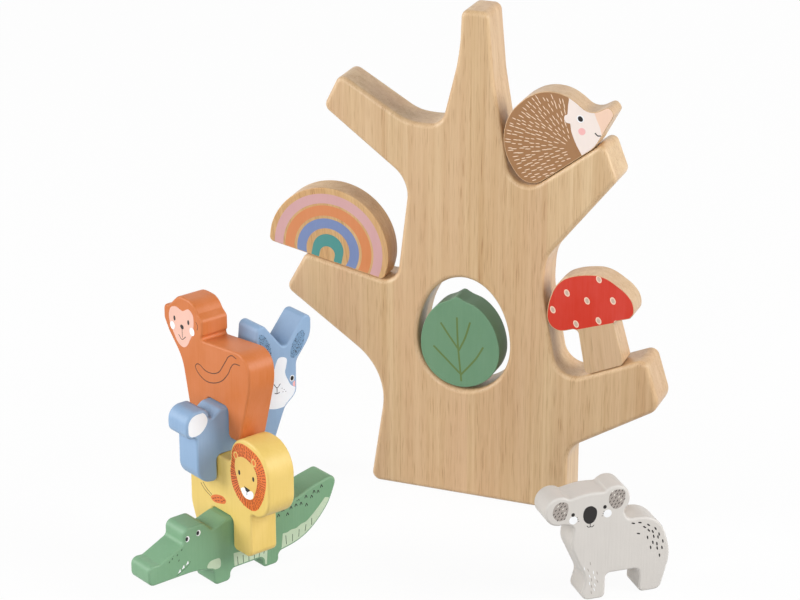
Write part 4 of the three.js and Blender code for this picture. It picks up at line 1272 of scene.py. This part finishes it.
@dataclass
class Koala(SawnPiece):
    """Stands alone on the floor."""

    ears: tuple[Points, ...] = (
        (
            (-42.4, 57.6), (-40.8, 61.4), (-37.4, 62.9), (-33.9, 61.6), (-33.3, 57.5), (-35.0, 52.8), (-38.4, 51.6),
            (-41.5, 53.9),
        ),
        (
            (-9.5, 60.5), (-8.3, 64.4), (-4.9, 65.7), (-0.5, 64.5), (0.1, 60.9), (-1.5, 55.7), (-5.4, 54.1),
            (-8.5, 56.8),
        ),
    )
    ear_rows: int = 6
    ear_hairs: int = 5
    first_hair: Point = (0.9, 1.0)
    hair_gap: Point = (2.05, 1.95)
    odd_row: float = 1.0
    jitter: float = 0.3
    hair: Point = (1.5, 0.5)
    hair_ways: Point = (35.0, 75.0)
    pale_every: int = 5
    nose: Points = (
        (-24.4, 53.9), (-22.9, 57.2), (-19.5, 57.9), (-16.6, 55.4), (-16.5, 51.3), (-18.3, 48.0), (-21.3, 47.4),
        (-23.8, 49.7),
    )
    eyes: Points = ((-30.4, 54.2), (-11.7, 56.2))
    cheeks: Points = ((-30.2, 50.8), (-10.0, 52.0))
    freckles: Points = ((-28.0, 52.4), (-27.5, 51.1), (-27.0, 49.8), (-12.2, 53.6), (-12.7, 52.3), (-13.2, 51.0))
    mouth: tuple[Points, ...] = (
        ((-20.2, 47.8), (-20.1, 45.4)),
        ((-22.0, 46.2), (-21.2, 45.3), (-20.1, 45.4), (-18.9, 45.3), (-18.0, 46.1)),
    )
    rump: Point = (8.0, 34.0)
    nape_lean: float = -15.0
    turn_share: float = 0.75
    lean: float = -8.0
    steepest: float = -80.0
    back: Points = (
        (5.5, 43.5), (9.5, 43.3), (14.7, 41.1), (8.8, 36.7), (12.4, 40.1), (15.0, 37.7), (19.0, 38.2), (17.4, 36.6),
        (21.3, 34.4), (18.1, 33.5), (20.7, 32.7), (14.4, 33.4), (23.7, 29.7), (20.2, 28.6), (17.7, 29.8),
        (23.3, 25.8), (20.5, 25.8), (16.5, 26.9), (22.0, 21.2),
    )
    leg: Points = (
        (-19.4, 22.7), (-22.8, 20.0), (-20.6, 18.8), (-17.4, 16.9), (-15.2, 16.2), (-19.6, 14.9), (-18.4, 12.4),
        (-16.5, 13.5), (-14.9, 10.9), (-19.5, 10.3), (-18.3, 8.3), (-16.3, 8.9), (-18.4, 4.6), (-16.7, 6.2),
    )
    leg_ways: Triple = (98.0, 106.0, 114.0)

    def marks(self, press: Press) -> None:
        """Prints the ears, face and short hairs.

        Args:
            press: the press.
        """
        chance = random.Random(SEED + 3)
        for ear in self.ears:
            self.ear(press, ear, chance)
        press.blob(Ink.BLACK, self.nose)
        press.dot(Ink.BLACK, (1.05, 1.15), *self.eyes)
        press.dot(Ink.WHITE, (2.4, 2.4), *self.cheeks)
        press.dot(Ink.BLACK, (0.26, 0.26), *self.freckles, layer=1, count=8)
        press.stroke(Ink.BLACK, 0.42, *self.mouth, layer=0.4, rise=0.4)
        for x, z in self.back:
            over, up = x - self.rump[0], z - self.rump[1]
            way = math.degrees(math.atan2(up, over)) - 90 if over > 0 else self.nape_lean
            press.dash(Ink.BLACK, (2.4, 0.9), max(way * self.turn_share + self.lean, self.steepest), (x, z))
        for k, spot in enumerate(self.leg):
            way = self.leg_ways[k % len(self.leg_ways)]
            press.dash(Ink.WHITE if k % 2 else Ink.STONE, (2.4, 0.45), way, spot)

    def ear(self, press: Press, ear: Points, chance: random.Random) -> None:
        """Prints one ear and its rows of hairs.

        Args:
            press: the press.
            ear: a few points of its outline.
            chance: what moves the hairs a little.
        """
        line = flow(ear)
        press.patch(Ink.STONE, line)
        left, low = (min(row) + start for row, start in zip(zip(*ear), self.first_hair))
        for row in range(self.ear_rows):
            for k in range(self.ear_hairs):
                x = left + k * self.hair_gap[0] + self.odd_row * (row % 2) + chance.uniform(-self.jitter, self.jitter)
                z = low + row * self.hair_gap[1] + chance.uniform(-self.jitter, self.jitter)
                if inside((x, z), line):
                    ink = Ink.BLACK if (row + k) % self.pale_every else Ink.FROST
                    press.dash(ink, self.hair, chance.uniform(*self.hair_ways), (x, z), layer=1)


# --- studio


@dataclass(frozen=True)
class Lamp:
    """A soft square lamp: where it hangs, its side in metres, its watts and whether a gloss shows it."""

    name: str
    spot: Triple
    size: float
    power: float
    mirrored: bool = True

    def hang(self, aim: Triple) -> None:
        """Hangs the lamp.

        Args:
            aim: where it shines to.
        """
        light = bpy.data.lights.new(self.name, "AREA")
        light.size, light.energy = self.size, self.power
        lamp = shown(self.name, light)
        lamp.location = self.spot
        lamp.rotation_euler = (Vector(aim) - Vector(self.spot)).to_track_quat("-Z", "Y").to_euler()
        lamp.visible_glossy = self.mirrored


@dataclass
class Studio:
    """A white floor, plain soft light and the camera."""

    eye: Triple = (0.5072, -1.4235, 0.7316)
    gaze: Triple = (68.0, 0.0, 21.3)
    lens: float = 125.1
    sensor: float = 36.0
    floor_half: float = 6.0
    floor_drop: float = 0.0002
    sky: float = 0.11
    white_share: float = 0.94
    floor_seen: float = 0.95
    floor_bounce: float = 0.45
    aim: Triple = (0.0, -0.05, 0.12)
    lamps: tuple[Lamp, ...] = (
        Lamp("right", (1.85, 0.2, 1.0), 1.2, 33.5),
        Lamp("left", (-2.0, -0.9, 0.9), 1.4, 36.0),
        Lamp("front", (0.3, -2.1, 1.0), 1.6, 27.0),
        Lamp("back", (-0.4, 2.1, 1.2), 1.6, 14.0, False),
    )
    white: ClassVar[tuple[float, float, float, float]] = (1.0, 1.0, 1.0, 1.0)

    def build(self) -> None:
        """Sets up the floor, the light and the camera."""
        self.floor()
        self.world()
        for lamp in self.lamps:
            lamp.hang(self.aim)
        self.camera()

    def floor(self) -> None:
        """Lays the floor."""
        mesh = bmesh.new()
        bmesh.ops.create_grid(mesh, x_segments=1, y_segments=1, size=self.floor_half)
        bmesh.ops.translate(mesh, verts=mesh.verts[:], vec=(0, 0, -self.floor_drop))
        floor = meshed("floor", mesh, self.matt())

    def matt(self) -> bpy.types.Material:
        """Makes matt white that the camera sees nearly at full white, with a soft shadow.

        Returns:
            The floor's material.
        """
        made, graph = blank(bpy.data.materials, "white_floor")
        seen = self.seen(graph)
        shade = graph.spread(seen, 0.0, 1.0, self.floor_bounce, self.floor_seen)
        matt = graph.add("ShaderNodeBsdfDiffuse", {"Color": shade}).outputs[0]
        glow = graph.add("ShaderNodeEmission", {"Color": self.white, "Strength": 1.0}).outputs[0]
        share = graph.times(seen, self.white_share)
        mixed = graph.add("ShaderNodeMixShader", {0: share, 1: matt, 2: glow}).outputs[0]
        graph.add("ShaderNodeOutputMaterial", {"Surface": mixed})
        return made

    @staticmethod
    def seen(graph: Graph) -> Socket:
        """Gives 1 where the camera looks, straight or by a reflection or through glass."""
        ray = graph.add("ShaderNodeLightPath").outputs
        mirrored = graph.math("MAXIMUM", ray["Is Glossy Ray"], ray["Is Transmission Ray"])
        return graph.math("MAXIMUM", ray["Is Camera Ray"], mirrored)

    def world(self) -> None:
        """Lights the air evenly, and shows it as white."""
        bpy.context.scene.world, graph = blank(bpy.data.worlds, "soft_air")
        strength = graph.spread(self.seen(graph), 0.0, 1.0, self.sky, 1.0)
        air = graph.add("ShaderNodeBackground", {"Color": self.white, "Strength": strength})
        graph.add("ShaderNodeOutputWorld", {"Surface": air.outputs[0]})

    def camera(self) -> None:
        """Sets the camera at the photograph's angle."""
        view = bpy.data.cameras.new("camera")
        view.lens, view.sensor_width, view.sensor_fit = self.lens, self.sensor, "HORIZONTAL"
        camera = shown("camera", view)
        camera.location = self.eye
        camera.rotation_euler = [math.radians(a) for a in self.gaze]
        bpy.context.scene.camera = camera
        bpy.context.scene.view_settings.view_transform = "Standard"


# --- the toy

TREE_WOOD = WoodFinish(
    "clear_tree_wood", "tree_wood", (229, 200, 158), (196, 157, 110), (156, 106, 60), (212, 171, 135), 47.0, 0.28
)
CHARM_WOOD = WoodFinish(
    "clear_charm_wood", "bare_wood", (223, 194, 157), (198, 161, 117), (157, 117, 81), (213, 174, 138), 90.0, 0.0, 8.0
)
# Rainbow wood: deeper and more saturated than the charm wood, partly its own tone and partly painted shade and warm
# bounce light for its side beside the trunk.
RAINBOW_WOOD_AND_SHADE = WoodFinish(
    "clear_rainbow_wood_and_shade", "bare_wood", (231, 197, 146), (201, 153, 99), (155, 107, 62), (212, 160, 108), 90.0, 0.0, 8.0
)
LEAF_GREEN = PaintFinish("satin_leaf_green", "leaf_paint", (112, 152, 120))
REED_GREEN = PaintFinish("satin_reed_green", "crocodile_paint", (127, 169, 133))
STRAW_YELLOW = PaintFinish("satin_straw_yellow", "lion_paint", (237, 205, 118))
SKY_BLUE = PaintFinish("satin_sky_blue", "rabbit_paint", (147, 177, 210))
CLAY_ORANGE = PaintFinish("satin_clay_orange", "monkey_paint", (209, 122, 68))
PEBBLE_GREY = PaintFinish("satin_pebble_grey", "koala_paint", (217, 212, 206), 0.10)
CHARM = {"thickness": 15.0, "rim": 0.5, "rim_steps": 4}
ANIMAL = {"thickness": 18.0, "rim": 1.4}


def pieces() -> list[SawnPiece]:
    """Lists the toy's pieces.

    Returns:
        The pieces, the tree first.
    """
    return [
        SawnPiece("tree", Seat(0, 0, 0), 26.0, 3.0, TREE_WOOD),
        Rainbow("rainbow", Seat(-89.94, -4.5, 138.35, 0, -11.5), finish=RAINBOW_WOOD_AND_SHADE, **CHARM),
        Hedgehog("hedgehog", Seat(34.67, -4.5, 198.14, 0, 37.5), finish=CHARM_WOOD, **CHARM),
        Mushroom("mushroom", Seat(87.76, -4.5, 96.47, 0, 23.5), finish=CHARM_WOOD, **CHARM),
        Leaf("leaf", Seat(-3.8, -4.5, 69.9, 0, 4), finish=LEAF_GREEN, **CHARM),
        Crocodile("crocodile", Seat(-89.1, -149.2, 0, 60.7), finish=REED_GREEN, **ANIMAL),
        Lion("lion", Seat(-89.1, -149.2, 19.9, -29.3), finish=STRAW_YELLOW, **ANIMAL),
        Rabbit("rabbit", Seat(-98.34, -144.01, 58.2, 60.7), finish=SKY_BLUE, **ANIMAL),
        Monkey("monkey", Seat(-95.46, -138.87, 82.8, -29.3), finish=CLAY_ORANGE, **ANIMAL),
        Koala("koala", Seat(117.7, -92.7, 0, 39.7), finish=PEBBLE_GREY, **ANIMAL),
    ]


def main() -> None:
    """Builds the toy piece by piece, then the studio."""
    logging.basicConfig(level=logging.INFO, format="%(name)s %(message)s")
    for piece in pieces():
        piece.build()
    Studio().build()


if __name__ == "__main__":
    main()
